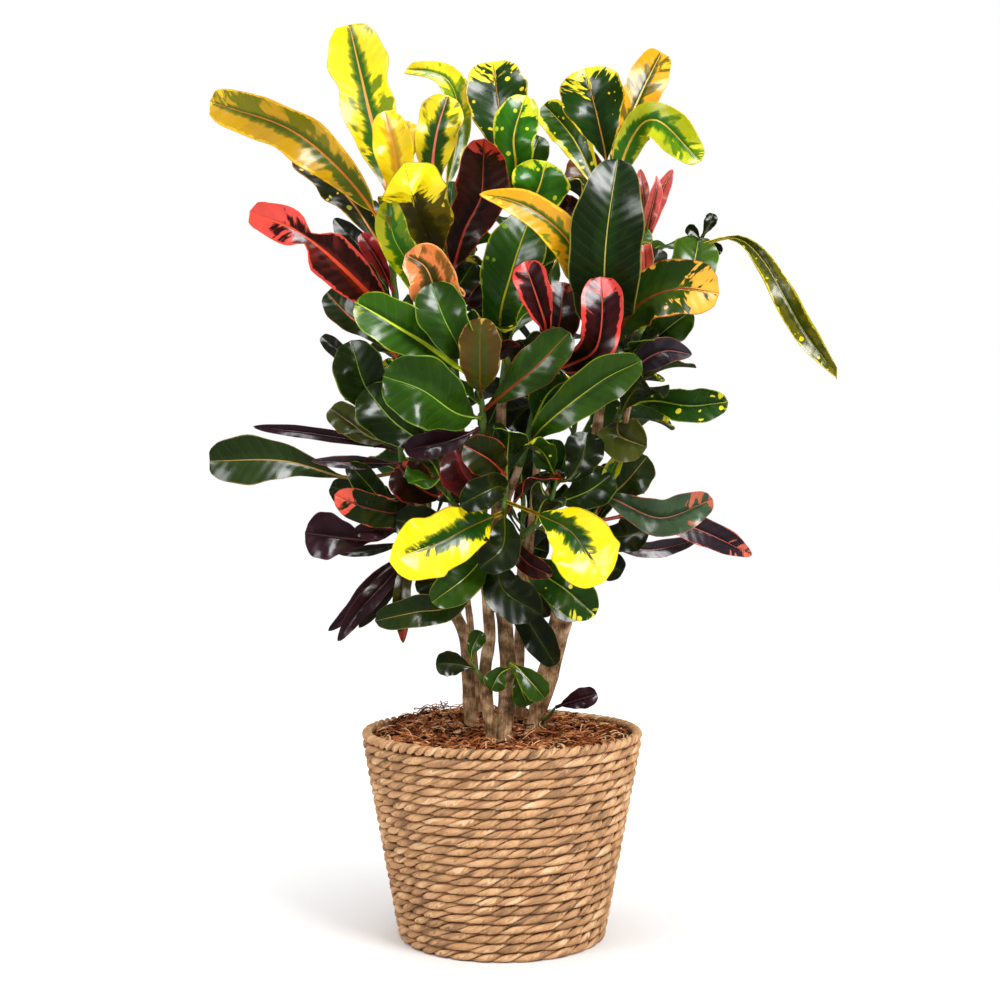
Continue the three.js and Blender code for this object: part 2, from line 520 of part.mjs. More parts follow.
function stations(length, stalk, most) {
  const count = Math.min(most, Math.max(3, Math.round((length * (1 - stalk)) / SEGMENT) + 1));
  const list = [0, stalk];
  for (let i = 1; i <= count; i += 1) {
    const x = Math.sin((Math.PI / 2) * (i / count) ** 0.9);
    list.push(stalk + (1 - stalk) * (0.35 * x + 0.65 * (i / count)));
  }
  return list;
}

function halfWidth(spec, s) {
  const form = FORMS[spec.form];
  const x = (s - form.stalk) / (1 - form.stalk);
  if (x <= 0) return PETIOLE;
  const swell = Math.sin(Math.PI * Math.min(1, x) ** form.rise) ** form.full;
  const waist = 1 - spec.notch * Math.exp(-(((x - 0.62) / 0.09) ** 2));
  const ripple = 1 + 0.05 * Math.sin(11 * x + 7 * spec.phase);
  return Math.max(PETIOLE, (spec.wide / 2) * Math.max(swell * waist * ripple,
    x > 0.8 ? form.tip : 0));
}

// How far a point at q, from -1 at one margin over 0 at the rib to 1, stands off the blade.
function lift(spec, s, q) {
  const form = FORMS[spec.form];
  const x = Math.max(0, (s - form.stalk) / (1 - form.stalk));
  const half = halfWidth(spec, s);
  const ripple = Math.sin(2 * Math.PI * (1.6 * x + spec.phase + 0.21 * Math.sign(q)));
  return half * Math.abs(q) ** 1.5 * (spec.cup + 2 * spec.wave * ripple * Math.min(1, 3 * x));
}

function bladeFrame(spec, curve, s) {
  const centre = curve.getPointAt(s);
  const along = curve.getTangentAt(s);
  const side = along.clone().cross(spec.facing).normalize();
  const normal = along.clone().cross(side);
  const angle = THREE.MathUtils.degToRad(spec.roll + spec.twist * (s - 0.3));
  const across = side.clone().multiplyScalar(Math.cos(angle))
    .addScaledVector(normal, Math.sin(angle));
  return { centre, across, normal: along.clone().cross(across) };
}

// A closed blade with both faces split alike. Narrow blades and those placed by rule are
// flat across, the others fold along the rib. extra thickens and widens the blade, and bare
// leaves its root off.
function blade(spec, extra = 0, bare = false) {
  const curve = new THREE.CatmullRomCurve3(spec.points, false, 'catmullrom', 0.5);
  const length = curve.getLength();
  const most = spec.length ? FILL_SEGMENTS : MOST_SEGMENTS;
  const stops = stations(length, FORMS[spec.form].stalk, most);
  if (bare) stops[0] = ROOT / length;
  const columns = spec.wide < NARROW || spec.length ? [-1, 1] : [-1, 0, 1];
  const under = columns.length;
  const positions = [];
  for (const s of stops) {
    const { centre, across, normal } = bladeFrame(spec, curve, s);
    for (const face of [1, -1]) {
      for (const q of columns) {
        const thick = (q === 0 ? BLADE_RIB : BLADE_EDGE) / 2 + extra;
        positions.push(centre.clone()
          .addScaledVector(across, q * (halfWidth(spec, s) + extra))
          .addScaledVector(normal, lift(spec, s, q) + face * thick));
      }
    }
  }
  const triangles = [];
  const right = under - 1;
  for (let i = 0; i + 1 < stops.length; i += 1) {
    const here = 2 * under * i;
    const next = here + 2 * under;
    for (let a = 0; a < right; a += 1) {
      const b = a + 1;
      triangles.push(here + a, here + b, next + b, here + a, next + b, next + a);
      const [c, d] = [a + under, b + under];
      triangles.push(here + c, next + d, here + d, here + c, next + c, next + d);
    }
    triangles.push(here, next, next + under, here, next + under, here + under);
    triangles.push(here + right, next + right + under, next + right);
    triangles.push(here + right, here + right + under, next + right + under);
  }
  const end = 2 * under * (stops.length - 1);
  for (let a = 0; a < right; a += 1) {
    const b = a + 1;
    triangles.push(a, a + under, b + under, a, b + under, b);
    triangles.push(end + a, end + b, end + b + under, end + a, end + b + under, end + a + under);
  }
  return solidFrom(positions, triangles);
}

// The root of a leaf, half sunk into its shoot on the side that the leaf leaves by.
function rootPoint(spec, towards) {
  const stem = STEMS[spec.stem];
  const s = stem.green + 0.02 + (0.98 - stem.green) * spec.at;
  const axis = curves[spec.stem].getPointAt(s);
  const along = curves[spec.stem].getTangentAt(s);
  const out = towards.clone().sub(axis);
  out.addScaledVector(along, -out.dot(along)).normalize();
  return axis.addScaledVector(out, 0.4 * stemRadius(stem, s));
}

let state = 20117;
function draw() {
  state = (state * 1664525 + 1013904223) % 4294967296;
  return state / 4294967296;
}

const PUSHES = [0, -7, 7, -14, 14, -21, 21, -28, 28, -36, 36, -44, 44];
const ROLLS = [0, 14, -14];

// A leaf of the front view, slid along the line of sight by push.
function frontLeaf(row, push, roll) {
  const way = row.way.map(([u, v, depth]) => seen([u, v, depth + push]));
  const root = rootPoint(row, way[0]);
  const facing = way[way.length - 1].clone().add(root).multiplyScalar(0.5).sub(EYE).normalize();
  return { ...row, points: [root, ...way], facing, roll: row.roll + roll };
}

// A leaf placed by rule: it leaves its shoot at angle turn, climbs and then bends over.
function ruleLeaf(row, turn, climb) {
  const heading = THREE.MathUtils.degToRad(turn);
  const out = new THREE.Vector3(Math.cos(heading), Math.sin(heading), 0);
  const axis = rootPoint(row, out.clone().multiplyScalar(1e4));
  const reach = (part, slope) => {
    const angle = THREE.MathUtils.degToRad(slope);
    return axis.clone().addScaledVector(out, part * row.length * Math.cos(angle))
      .add(new THREE.Vector3(0, 0, part * row.length * Math.sin(angle)));
  };
  const points = [axis, reach(0.5, climb + 8), reach(0.97, climb - 6)];
  return { ...row, points, facing: new THREE.Vector3(0, 0, -1) };
}

function overlapping(a, b) {
  return [0, 1, 2].every((k) => a.min[k] < b.max[k] && b.min[k] < a.max[k]);
}

const placed = [];
function isClear(solid, owner) {
  const box = solid.boundingBox();
  return placed.every((other) => other.name === owner || !overlapping(box, other.box)
    || solid.intersect(other.solid).isEmpty());
}

function keep(name, solid) {
  placed.push({ name, solid, box: solid.boundingBox() });
}

function settle(options, owner) {
  for (const spec of options) {
    const solid = blade(spec, CLEARANCE, true);
    if (isClear(solid, owner)) {
      keep('', solid);
      return spec;
    }
  }
  return null;
}

for (const name of Object.keys(STEMS)) {
  keep(name, woodTube(name));
  keep(name, shootTube(name));
}

const leaves = [];
function placeFront(row, index) {
  row.phase = (index * 0.37) % 1;
  const options = [];
  for (const roll of ROLLS) {
    for (const push of PUSHES) options.push(frontLeaf(row, push, roll));
  }
  const spec = settle(options, row.stem);
  if (spec) leaves.push(spec);
}

LEAVES.forEach(placeFront);

for (const [stem, rule] of Object.entries(FILL)) {
  for (let i = 0; i < rule.count; i += 1) {
    const at = (i + 0.5) / rule.count;
    const around = ((i * GOLDEN_ANGLE) % 360) / 360 - 0.5;
    const [shortest, longest] = rule.length;
    const length = (shortest + (longest - shortest) * draw()) * (1 - 0.25 * at);
    const row = leaf(`${stem}_${i + 1}`, stem, at, [], length * (0.4 + 0.12 * draw()),
      FILL_COLOURS[Math.floor(draw() * FILL_COLOURS.length)]);
    row.phase = draw();
    row.length = length;
    row.roll = 70 * draw() - 35;
    const climb = 14 + 30 * at + 26 * draw();
    const options = [];
    for (const extra of [0, 12, -12, 24, 36]) {
      for (const shift of [0, 12, -12, 24, -24, 36, -36]) {
        options.push(ruleLeaf(row, rule.turn + around * rule.sweep + shift, climb + extra));
      }
    }
    const spec = settle(options, stem);
    if (spec) leaves.push(spec);
  }
}

DEEP_LEAVES.forEach((row, index) => placeFront(row, LEAVES.length + index));

// ---- holder ----
function outerRadius(z) {
  const wallTop = BASKET_HEIGHT - RIM_ROPE;
  return BASKET_BASE_RADIUS + (BASKET_RIM_RADIUS - BASKET_BASE_RADIUS) * Math.min(1, z / wallTop);
}

function lathe(profile, sides) {
  const points = profile.map(([radius, z]) => new THREE.Vector2(radius, z));
  return solidOf(turned(new THREE.LatheGeometry(points, sides)));
}

function basketSolid() {
  const wallTop = BASKET_HEIGHT - RIM_ROPE - GAP;
  const pitch = wallTop / BASKET_ROWS;
  const profile = [[0, 0], [BASKET_BASE_RADIUS - 4, 0]];
  for (let row = 0; row < BASKET_ROWS; row += 1) {
    const crest = (row + 0.5) * pitch;
    profile.push([outerRadius(crest), crest]);
    const groove = (row + 1) * pitch;
    profile.push([outerRadius(groove) - ROPE_RELIEF, groove]);
  }
  profile.push([outerRadius(wallTop) - BASKET_WALL, wallTop]);
  profile.push([outerRadius(BASKET_FLOOR) - BASKET_WALL, BASKET_FLOOR]);
  profile.push([0, BASKET_FLOOR]);
  return lathe(profile, BASKET_SIDES);
}

function rimSolid() {
  const radius = RIM_ROPE / 2;
  const middle = BASKET_RIM_RADIUS - radius;
  const torus = new THREE.TorusGeometry(middle, radius, RIM_SIDES, BASKET_SIDES);
  return solidOf(torus.translate(0, 0, BASKET_HEIGHT - radius));
}

function growPotSolid() {
  const floor = BASKET_FLOOR + GAP;
  const inside = floor + POT_WALL;
  const shell = lathe([[0, floor], [POT_BASE_RADIUS, floor],
    [POT_TOP_RADIUS - 1, POT_TOP - POT_LIP_HEIGHT],
    [POT_TOP_RADIUS + POT_LIP, POT_TOP - POT_LIP_HEIGHT], [POT_TOP_RADIUS + POT_LIP, POT_TOP],
    [POT_TOP_RADIUS - POT_WALL, POT_TOP], [POT_BASE_RADIUS - POT_WALL, inside], [0, inside]],
    POT_SIDES);
  let pot = shell;
  for (let i = 0; i < DRAIN_HOLES; i += 1) {
    const angle = (2 * Math.PI * i) / DRAIN_HOLES;
    const drill = new THREE.CylinderGeometry(DRAIN_HOLE_RADIUS, DRAIN_HOLE_RADIUS, 12, 8);
    turned(drill).translate(0.6 * POT_BASE_RADIUS * Math.cos(angle),
      0.6 * POT_BASE_RADIUS * Math.sin(angle), floor);
    pot = pot.subtract(solidOf(drill));
  }
  return pot;
}

function rootBallSolid() {
  const floor = BASKET_FLOOR + POT_WALL + 2 * GAP;
  const slope = (POT_TOP_RADIUS - POT_BASE_RADIUS) / (POT_TOP - BASKET_FLOOR);
  const inner = (z) => POT_BASE_RADIUS - POT_WALL - 3 * GAP + slope * (z - floor);
  return lathe([[0, floor], [inner(floor), floor], [inner(SOIL_TOP), SOIL_TOP], [0, SOIL_TOP]],
    POT_SIDES);
}

// Height of the mulch: mounded behind on the left, with a coarse fibrous relief.
function mulchHeight(x, y) {
  const mound = MULCH_MOUND * Math.exp(-(((x + 45) / 75) ** 2 + ((y - 85) / 60) ** 2));
  const relief = Math.sin(x / 7 + y / 17) + Math.sin(y / 6 - x / 13) + Math.sin((x + y) / 5);
  return MULCH_TOP + mound + 1.5 + (MULCH_RELIEF * relief) / 2;
}

function mulchSolid() {
  const low = POT_TOP + GAP;
  const edge = outerRadius(low) - BASKET_WALL - 2 * GAP - 0.8;
  const inner = POT_TOP_RADIUS - POT_WALL - 3;
  const profile = [[0, SOIL_TOP + GAP], [inner, SOIL_TOP + GAP], [inner + 1, low], [edge, low],
    [edge + 1, MULCH_TOP - 4]];
  const tops = [0.97, 0.74, 0.48, 0.22, 0].map((part) => [part * edge, MULCH_TOP]);
  const points = [...profile, ...tops].map(([radius, z]) => new THREE.Vector2(radius, z));
  const geometry = turned(new THREE.LatheGeometry(points, BASKET_SIDES));
  const place = geometry.getAttribute('position');
  for (let i = 0; i < place.count; i += 1) {
    if (place.getZ(i) > MULCH_TOP - 1) {
      place.setZ(i, mulchHeight(place.getX(i), place.getY(i)));
    }
  }
  return solidOf(geometry);
}

// ---- assembly ----
const FINISHES = {
  rope: { color: 0xc39a63, roughness: 0.75, metalness: 0 },
  plastic: { color: 0x17181a, roughness: 0.5, metalness: 0 },
  soil: { color: 0x2b1d14, roughness: 1, metalness: 0 },
  coir: { color: 0x7c4526, roughness: 0.95, metalness: 0 },
  bark: { color: 0x8d6f55, roughness: 0.85, metalness: 0 },
};
for (const [name, color] of Object.entries(COLOURS)) {
  FINISHES[name] = { color, roughness: 0.28, metalness: 0 };
}

const croton = new THREE.Group();
function addPiece(name, solid, finish) {
  const { numProp, vertProperties, triVerts } = solid.getMesh();
  const geometry = new THREE.BufferGeometry();
  geometry.setAttribute('position', new THREE.BufferAttribute(vertProperties, numProp));
  geometry.setIndex(new THREE.BufferAttribute(triVerts, 1));
  const piece = new THREE.Mesh(geometry, new THREE.MeshStandardMaterial(FINISHES[finish]));
  piece.name = name;
  croton.add(piece);
}

function without(solid, others) {
  return others.reduce((rest, other) => rest.subtract(other), solid);
}

const stemNames = Object.keys(STEMS);
const holes = stemNames.map((name) => woodTube(name, 2 * GAP));
addPiece('basket', basketSolid(), 'rope');
addPiece('rim_rope', rimSolid(), 'rope');
addPiece('grow_pot', growPotSolid(), 'plastic');
addPiece('root_ball', largest(without(rootBallSolid(), holes)), 'soil');
addPiece('coir_mulch', largest(without(mulchSolid(), holes)), 'coir');

const trunkNames = [...new Set(stemNames.map((name) => STEMS[name].trunk))];
for (const trunk of trunkNames) {
  let wood = null;
  for (const name of stemNames.filter((each) => STEMS[each].trunk === trunk)) {
    const limb = woodTube(name);
    wood = wood ? wood.add(limb) : limb;
  }
  if (trunk === 'trunk_right') {
    const curve = new THREE.CatmullRomCurve3(STUB.path.map(seen), false, 'catmullrom', 0.5);
    wood = wood.add(tube(curve, () => STUB.radius, 0, 1, 3, WOOD_SIDES));
  }
  addPiece(trunk, wood, 'bark');
}

for (const name of stemNames) {
  let shoot = shootTube(name);
  for (const spec of leaves) {
    if (spec.stem === name && !spec.own) shoot = shoot.add(blade(spec));
  }
  const woods = stemNames.filter((each) => STEMS[each].trunk === STEMS[name].trunk)
    .map((each) => woodTube(each, GAP));
  addPiece(`shoot_${name}`, largest(without(shoot, woods)), 'green');
}
leaves.forEach((spec, index) => {
  if (spec.own) {
    const near = leaves.filter((other, i) => other.stem === spec.stem && i !== index
      && (!other.own || i < index));
    const around = [shootTube(spec.stem, GAP), woodTube(spec.stem, GAP),
      ...near.map((other) => blade(other, GAP))];
    addPiece(`leaf_${spec.name}`, largest(without(blade(spec), around)), spec.colour);
  }
});

export default croton;
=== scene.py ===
"""A potted croton in a rope basket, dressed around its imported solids.

Lengths in the layout are millimetres, as in the part's source, and every mesh is scaled to
metres when it is made. The origin is the middle of the basket's flat underside, +Z is up, and
-Y is the side that the camera sees.
"""
import json
import logging
import math
import random
from dataclasses import dataclass, replace
from enum import Enum

import bmesh
import bpy
import numpy as np
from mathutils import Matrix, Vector, kdtree


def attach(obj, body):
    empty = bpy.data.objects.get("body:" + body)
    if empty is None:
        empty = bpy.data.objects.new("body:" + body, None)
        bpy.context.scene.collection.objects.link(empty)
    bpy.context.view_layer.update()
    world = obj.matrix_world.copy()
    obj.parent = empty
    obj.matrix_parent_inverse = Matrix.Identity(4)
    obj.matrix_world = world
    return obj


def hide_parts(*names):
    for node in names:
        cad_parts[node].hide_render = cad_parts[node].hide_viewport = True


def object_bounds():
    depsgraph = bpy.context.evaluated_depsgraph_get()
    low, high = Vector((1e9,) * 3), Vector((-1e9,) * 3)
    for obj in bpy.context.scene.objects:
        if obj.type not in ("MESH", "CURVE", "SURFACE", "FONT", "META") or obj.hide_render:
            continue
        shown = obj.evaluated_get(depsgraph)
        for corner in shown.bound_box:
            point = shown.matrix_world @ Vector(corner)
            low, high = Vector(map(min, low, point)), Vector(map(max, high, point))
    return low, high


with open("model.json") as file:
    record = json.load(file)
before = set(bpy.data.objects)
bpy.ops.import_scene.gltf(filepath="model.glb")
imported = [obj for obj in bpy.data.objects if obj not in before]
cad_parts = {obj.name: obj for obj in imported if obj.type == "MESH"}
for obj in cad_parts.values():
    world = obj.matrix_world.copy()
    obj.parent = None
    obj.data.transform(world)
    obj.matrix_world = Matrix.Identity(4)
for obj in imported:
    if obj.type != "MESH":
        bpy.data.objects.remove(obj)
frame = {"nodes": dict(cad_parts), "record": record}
CAD_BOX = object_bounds()

LOG = logging.getLogger("croton")
MM = 0.001
BODY = "root"
WELD = 1e-6               # metres within which vertices are merged
FINE_WELD = 1e-7          # the same, for the thin ends of pipes
NEARLY_ALONG = 0.9        # cosine past which a line runs along an axis
TINY = 1e-6

Point = tuple[float, float, float]
Stops = tuple[tuple[float, str], ...]
Verts = list[bmesh.types.BMVert]
Layer = bmesh.types.BMLayerItem
Array = np.ndarray
Mesh = bmesh.types.BMesh
Thing = bpy.types.Object
Material = bpy.types.Material

# ---- the front view: an upright sheet through the pot's axis, u right and v down, in mm ----
EYE_DISTANCE = 1500.0
EYE = np.array((0.0, -EYE_DISTANCE, 432.0))
AXIS_U = 502.0
HORIZON_V = 500.0
SHEET_WIDTH = 1000.0
SENSOR_MM = 36.0


def seen(point: Point) -> Array:
    """Places a point of the front view in space.

    Args:
        point: u and v on the sheet, and the depth behind it along the line of sight.

    Returns:
        The point in the part's frame, in millimetres.
    """
    u, v, depth = point
    place = np.array((u - AXIS_U, 0.0, EYE[2] + HORIZON_V - v))
    return EYE + (place - EYE) * (EYE_DISTANCE + depth) / EYE_DISTANCE


def linear(hue: str, alpha: float = 1.0) -> tuple[float, float, float, float]:
    """Turns an sRGB hex colour to linear.

    Args:
        hue: six hex digits.
        alpha: the fourth number, which carries a share or a width in leaf attributes.

    Returns:
        Red, green, blue and alpha.
    """
    knee, slope, offset, power = 0.04045, 12.92, 0.055, 2.4
    parts = (int(hue[k:k + 2], 16) / 255 for k in (0, 2, 4))
    red, green, blue = (c / slope if c <= knee else ((c + offset) / (1 + offset)) ** power
                        for c in parts)
    return (red, green, blue, alpha)


def smoothstep(value: Array) -> Array:
    """Eases a value from 0 to 1."""
    value = np.clip(value, 0.0, 1.0)
    return value * value * (3.0 - 2.0 * value)


def bell(value: Array) -> Array:
    """A bell curve, which is 1 at 0 and nearly gone at 2."""
    return np.exp(-value ** 2)


class Spline:
    """A smooth line through points that is read by its share of length."""

    DIVISIONS = 200
    NUDGE = 1e-4

    def __init__(self, points: list[Array]) -> None:
        """Keeps the points, with one more mirrored past each end, and measures the line.

        Args:
            points: what the line passes through, in order.
        """
        own = np.asarray(points, float)
        self.spans = len(own) - 1
        self.knots = np.vstack((2 * own[0] - own[1], own, 2 * own[-1] - own[-2]))
        self.grid = np.linspace(0.0, 1.0, self.DIVISIONS + 1)
        places = self._place(self.grid)
        steps = np.linalg.norm(np.diff(places, axis=0), axis=1)
        self.lengths = np.concatenate(([0.0], np.cumsum(steps)))

    @property
    def length(self) -> float:
        """The line's whole length."""
        return float(self.lengths[-1])

    def _place(self, t: Array) -> Array:
        """Points by raw parameter, on the cubic of each span.

        Args:
            t: values of the raw parameter from 0 to 1.

        Returns:
            The points.
        """
        where = np.clip(t, 0.0, 1.0) * self.spans
        index = np.minimum(np.floor(where).astype(int), self.spans - 1)
        w = (where - index)[:, None]
        p0, p1, p2, p3 = (self.knots[index + k] for k in range(4))
        t0, t1 = 0.5 * (p2 - p0), 0.5 * (p3 - p1)
        return (p1 + t0 * w + (-3 * p1 + 3 * p2 - 2 * t0 - t1) * w ** 2
                + (2 * p1 - 2 * p2 + t0 + t1) * w ** 3)

    def _raw(self, shares: Array) -> Array:
        """Raw parameters at shares of the length."""
        return np.interp(np.asarray(shares, float) * self.length, self.lengths, self.grid)

    def points(self, shares: Array) -> Array:
        """Points at shares of the length."""
        return self._place(self._raw(shares))

    def tangents(self, shares: Array) -> Array:
        """Unit directions along the line.

        Args:
            shares: shares of the length.

        Returns:
            The directions.
        """
        raw = self._raw(shares)
        ahead = self._place(np.minimum(1.0, raw + self.NUDGE))
        along = ahead - self._place(np.maximum(0.0, raw - self.NUDGE))
        return along / np.linalg.norm(along, axis=1)[:, None]


# ---- stems and leaves, laid out as in the part's source ----
@dataclass(frozen=True)
class Stem:
    """A stem: wood up to the fraction green, and a green shoot from there on."""

    trunk: str
    green: float
    radius: tuple[float, float]
    path: tuple[Point, ...]

    def radius_at(self, share: float | Array) -> float | Array:
        """The stem's radius at a share of its length."""
        return self.radius[0] + (self.radius[1] - self.radius[0]) * share


@dataclass(frozen=True)
class Profile:
    """How a blade's width runs from stalk to tip."""

    rise: float
    full: float
    tip: float
    stalk: float


class Outline(Enum):
    """The outlines that the plant's leaves take."""

    SPOON = Profile(1.35, 0.52, 0.32, 0.14)
    PADDLE = Profile(1.8, 0.55, 0.34, 0.3)
    LANCE = Profile(1.2, 0.8, 0.12, 0.12)


@dataclass(frozen=True)
class Hues:
    """A leaf's colours, as sRGB hex, and how far each of them reaches."""

    body: str
    blotch: str
    rib: str
    edge: str
    feather: float = 0.2      # share of the half width that the blotch takes along the rib
    rib_mm: float = 1.2       # half width of the coloured midrib at the stalk
    margin: float = 0.0       # share of the half width in the edge colour
    spots: float = 0.0        # how much of the blade is spotted with the edge colour
    tip: float = 0.0          # share of the length in the edge colour at the tip
    mottle: float = 0.0       # how much of the body is clouded with the blotch colour


class Tint(Enum):
    """The leaf colourings that the plant shows."""

    CREST = Hues("efd81a", "3f7416", "e5a857", "f4e648", 0.36, 2.6, 0.1, mottle=0.3)
    GOLD_SWEEP = Hues("cba51b", "67760f", "dc8a2e", "e2c22a", 0.34, 1.6, 0.12, mottle=0.42)
    DARK_SPOTTED = Hues("273306", "374808", "d99a5a", "cfc93a", 0.2, 1.5, 0.02, 0.32)
    RED_TONGUE = Hues("46160f", "7a2418", "e86236", "de5c50", 0.16, 2.8, 0.14, tip=0.24,
                      mottle=0.35)
    LIME_TONGUE = Hues("b4b416", "3f7408", "a8b82c", "dcd836", 0.85, 1.2, 0.05, mottle=0.42)
    PEACH = Hues("e8955a", "5c5418", "f0b476", "f2a86c", 0.5, 1.8, 0.1, mottle=0.2)
    YELLOW_TONGUE = Hues("efd51b", "c9a314", "e2a63c", "f5e552", 0.4, 1.8, 0.08, mottle=0.2)
    GOLD_CUP = Hues("77690f", "4a470c", "4b3c12", "f4e024", 0.4, 1.6, 0.07, 0.1, 0.34, 0.3)
    ORANGE_RIB = Hues("2b4008", "375109", "d8702e", "4d5f0a", 0.2, 1.7)
    RED_STRIPE = Hues("a62a30", "541a1c", "e2625c", "c43a40", 0.3, 1.6, 0.15)
    GREY_SPEAR = Hues("292d13", "23270f", "6c4a3a", "3d4638", 0.3, 1.1)
    BLUE_GREEN = Hues("42682c", "355a23", "a4b44d", "5a7f38", 0.3, 0.9)
    LIME_RIB = Hues("477209", "365e08", "cfe032", "8e9d12", 0.3, 3.0, 0.05)
    GLOSS = Hues("385a0a", "42680c", "a9c252", "426e0f", 0.3, 1.0)
    BRONZE = Hues("66521a", "575c1c", "8c6c24", "c6a552", 0.5, 1.2, 0.05)
    YELLOW_RIB = Hues("2f5a0b", "3a6410", "c7b81e", "7f9a16", 0.25, 1.8, 0.05, 0.2, mottle=0.1)
    PINK_RIB = Hues("e8d626", "33600f", "e68a7c", "f0e248", 0.55, 2.2, 0.08, mottle=0.3)
    SADDLE = Hues("efdb1f", "4f8a10", "e0b83c", "f6ec5a", 0.35, 1.4, 0.08, mottle=0.3)
    MAROON_TOP = Hues("42190f", "2b120a", "a8442c", "b4452c", 0.4, 1.6, 0.05, tip=0.06, mottle=0.3)
    SPOTTED = Hues("2c5008", "1f4206", "c0913c", "eedc34", 0.35, 1.1, 0.06, 0.36, 0.14, 0.1)
    LIME_TOP = Hues("44800e", "2f6c08", "dfc63a", "cfd828", 0.3, 2.0, 0.1, 0.4, 0.08, 0.25)
    YELLOW_MARGIN = Hues("426a09", "2e5608", "d0c83a", "eee032", 0.3, 1.4, 0.3, 0.5, mottle=0.2)
    RIBBON = Hues("e6b026", "4f7c10", "df8a38", "f0d232", 0.32, 1.8, 0.15, 0.3, mottle=0.3)
    BIG_RIGHT = Hues("213908", "28480b", "c3b45c", "31510c", 0.3, 1.3)
    GOLD_RIGHT = Hues("e9b010", "3f560a", "e6c04a", "e2b91c", 0.3, 1.8, 0.05, mottle=0.36)
    DROOP_RIGHT = Hues("c6cc1c", "4b840e", "e6c648", "dedc2c", 0.55, 1.8, 0.08, mottle=0.36)
    BROWN = Hues("8a5a26", "66391b", "d88c4c", "a87a34", 0.4, 1.6, 0.06, mottle=0.35)
    CRIMSON = Hues("471212", "2c0c0d", "d65a3c", "da504a", 0.3, 1.8, 0.22, tip=0.12)
    SALMON = Hues("de6e5a", "b8463f", "eea08c", "e88a74", 0.3, 1.4, 0.1)
    TUFT = Hues("cf6560", "7c4a30", "e29a86", "dd8274", 0.35, 1.2, 0.1)
    PALE_GREEN = Hues("507015", "3f5f0f", "b9ca44", "748b1b", 0.3, 1.3)
    DEEP = Hues("233008", "2d3f0a", "6c6c19", "2c430a", 0.3, 1.0)
    ORANGE_TIP = Hues("385607", "4a650a", "a6502c", "f2b84a", 0.3, 1.9, 0.06, 0.3, 0.2, 0.3)
    LONG_GREEN = Hues("3f5f09", "325308", "a8ac34", "4d6e0c", 0.3, 1.2, mottle=0.25)
    GREY_PURPLE = Hues("4b434a", "3a343a", "cf7f70", "5c5058", 0.3, 1.4)
    LIGHT_SPOTTED = Hues("305609", "274a09", "a3b228", "ddd23a", 0.25, 1.2, 0.02, 0.28, 0.03)
    RED_RIB = Hues("35530a", "3f5f0b", "a64a2c", "425e0c", 0.25, 1.7, mottle=0.2)
    PURPLE = Hues("432531", "32181f", "7a4450", "4c2b3a", 0.35, 1.2)
    MAROON_ROUND = Hues("51201f", "7c2626", "a83a34", "612a26", 0.15, 1.2)
    SMALL_RED_RIB = Hues("363e0d", "2c340a", "ce5a3c", "464f11", 0.3, 1.5)
    LONG_DARK = Hues("273b08", "304809", "9fb24a", "2b4409", 0.3, 1.0)
    OLIVE = Hues("565c20", "444a0e", "a08c40", "6c5a28", 0.35, 1.3, 0.06)
    # Its body and blotch are the leaf's own dark green with tan rib, lightened and greyed by a
    # painted sheen.
    TAN_RIB = Hues("344819", "3b5022", "b89a5c", "3c4d18", 0.3, 1.3)
    SALMON_EDGE = Hues("26380d", "1d300e", "8c4a38", "d9664f", 0.3, 1.2, 0.06, tip=0.16)
    OLIVE_RED = Hues("4d4a1e", "3c381a", "8c6a34", "a8402e", 0.3, 1.2, tip=0.12)
    SALMON_ARM = Hues("50654a", "3b5034", "a8705a", "c07258", 0.3, 1.2, 0.02, tip=0.08)
    PURPLE_BLADE = Hues("45353f", "362831", "c9705f", "dc7c64", 0.3, 1.3, 0.06, tip=0.1)
    YELLOW_LEAF = Hues("f7e510", "2a5c0a", "a87a18", "f8e62a", 0.44, 0.7, 0.06, tip=0.26)
    HANGING = Hues("77740f", "4a550f", "b8a63c", "d8cc34", 0.4, 1.2, 0.14, 0.45, mottle=0.3)


@dataclass(frozen=True)
class Leaf:
    """A leaf: its shoot, how far up it sits, the way of its midrib, its width and its look."""

    name: str
    stem: str
    at: float
    way: tuple[Point, ...]
    wide: float
    tint: Tint = Tint.DEEP
    form: Outline = Outline.SPOON
    roll: float = 0.0
    twist: float = 0.0
    cup: float = 0.18
    wave: float = 0.1
    notch: float = 0.0
    own: bool = False
    phase: float = 0.0
    length: float = 0.0


@dataclass(frozen=True)
class Habit:
    """How a fine blade departs from the plain packed one."""

    swell: float = 1.38       # moves the widest place towards the tip
    fullness: float = 0.76    # below 1 blunts the tip
    curl: float = 0.0         # degrees that the tip bends towards the upper side
    bend_at: float = 0.65     # share of the length where the bend starts
    neck: float = 0.0         # how much a second waist takes from the width
    head: float = 1.0         # width that is left beyond the waist
    arch: float = 0.0         # how much earlier the margins bend than the midrib


@dataclass(frozen=True)
class Fill:
    """Leaves placed round a shoot by rule: their number, sector and lengths."""

    count: int
    turn: float
    sweep: float
    length: tuple[float, float]


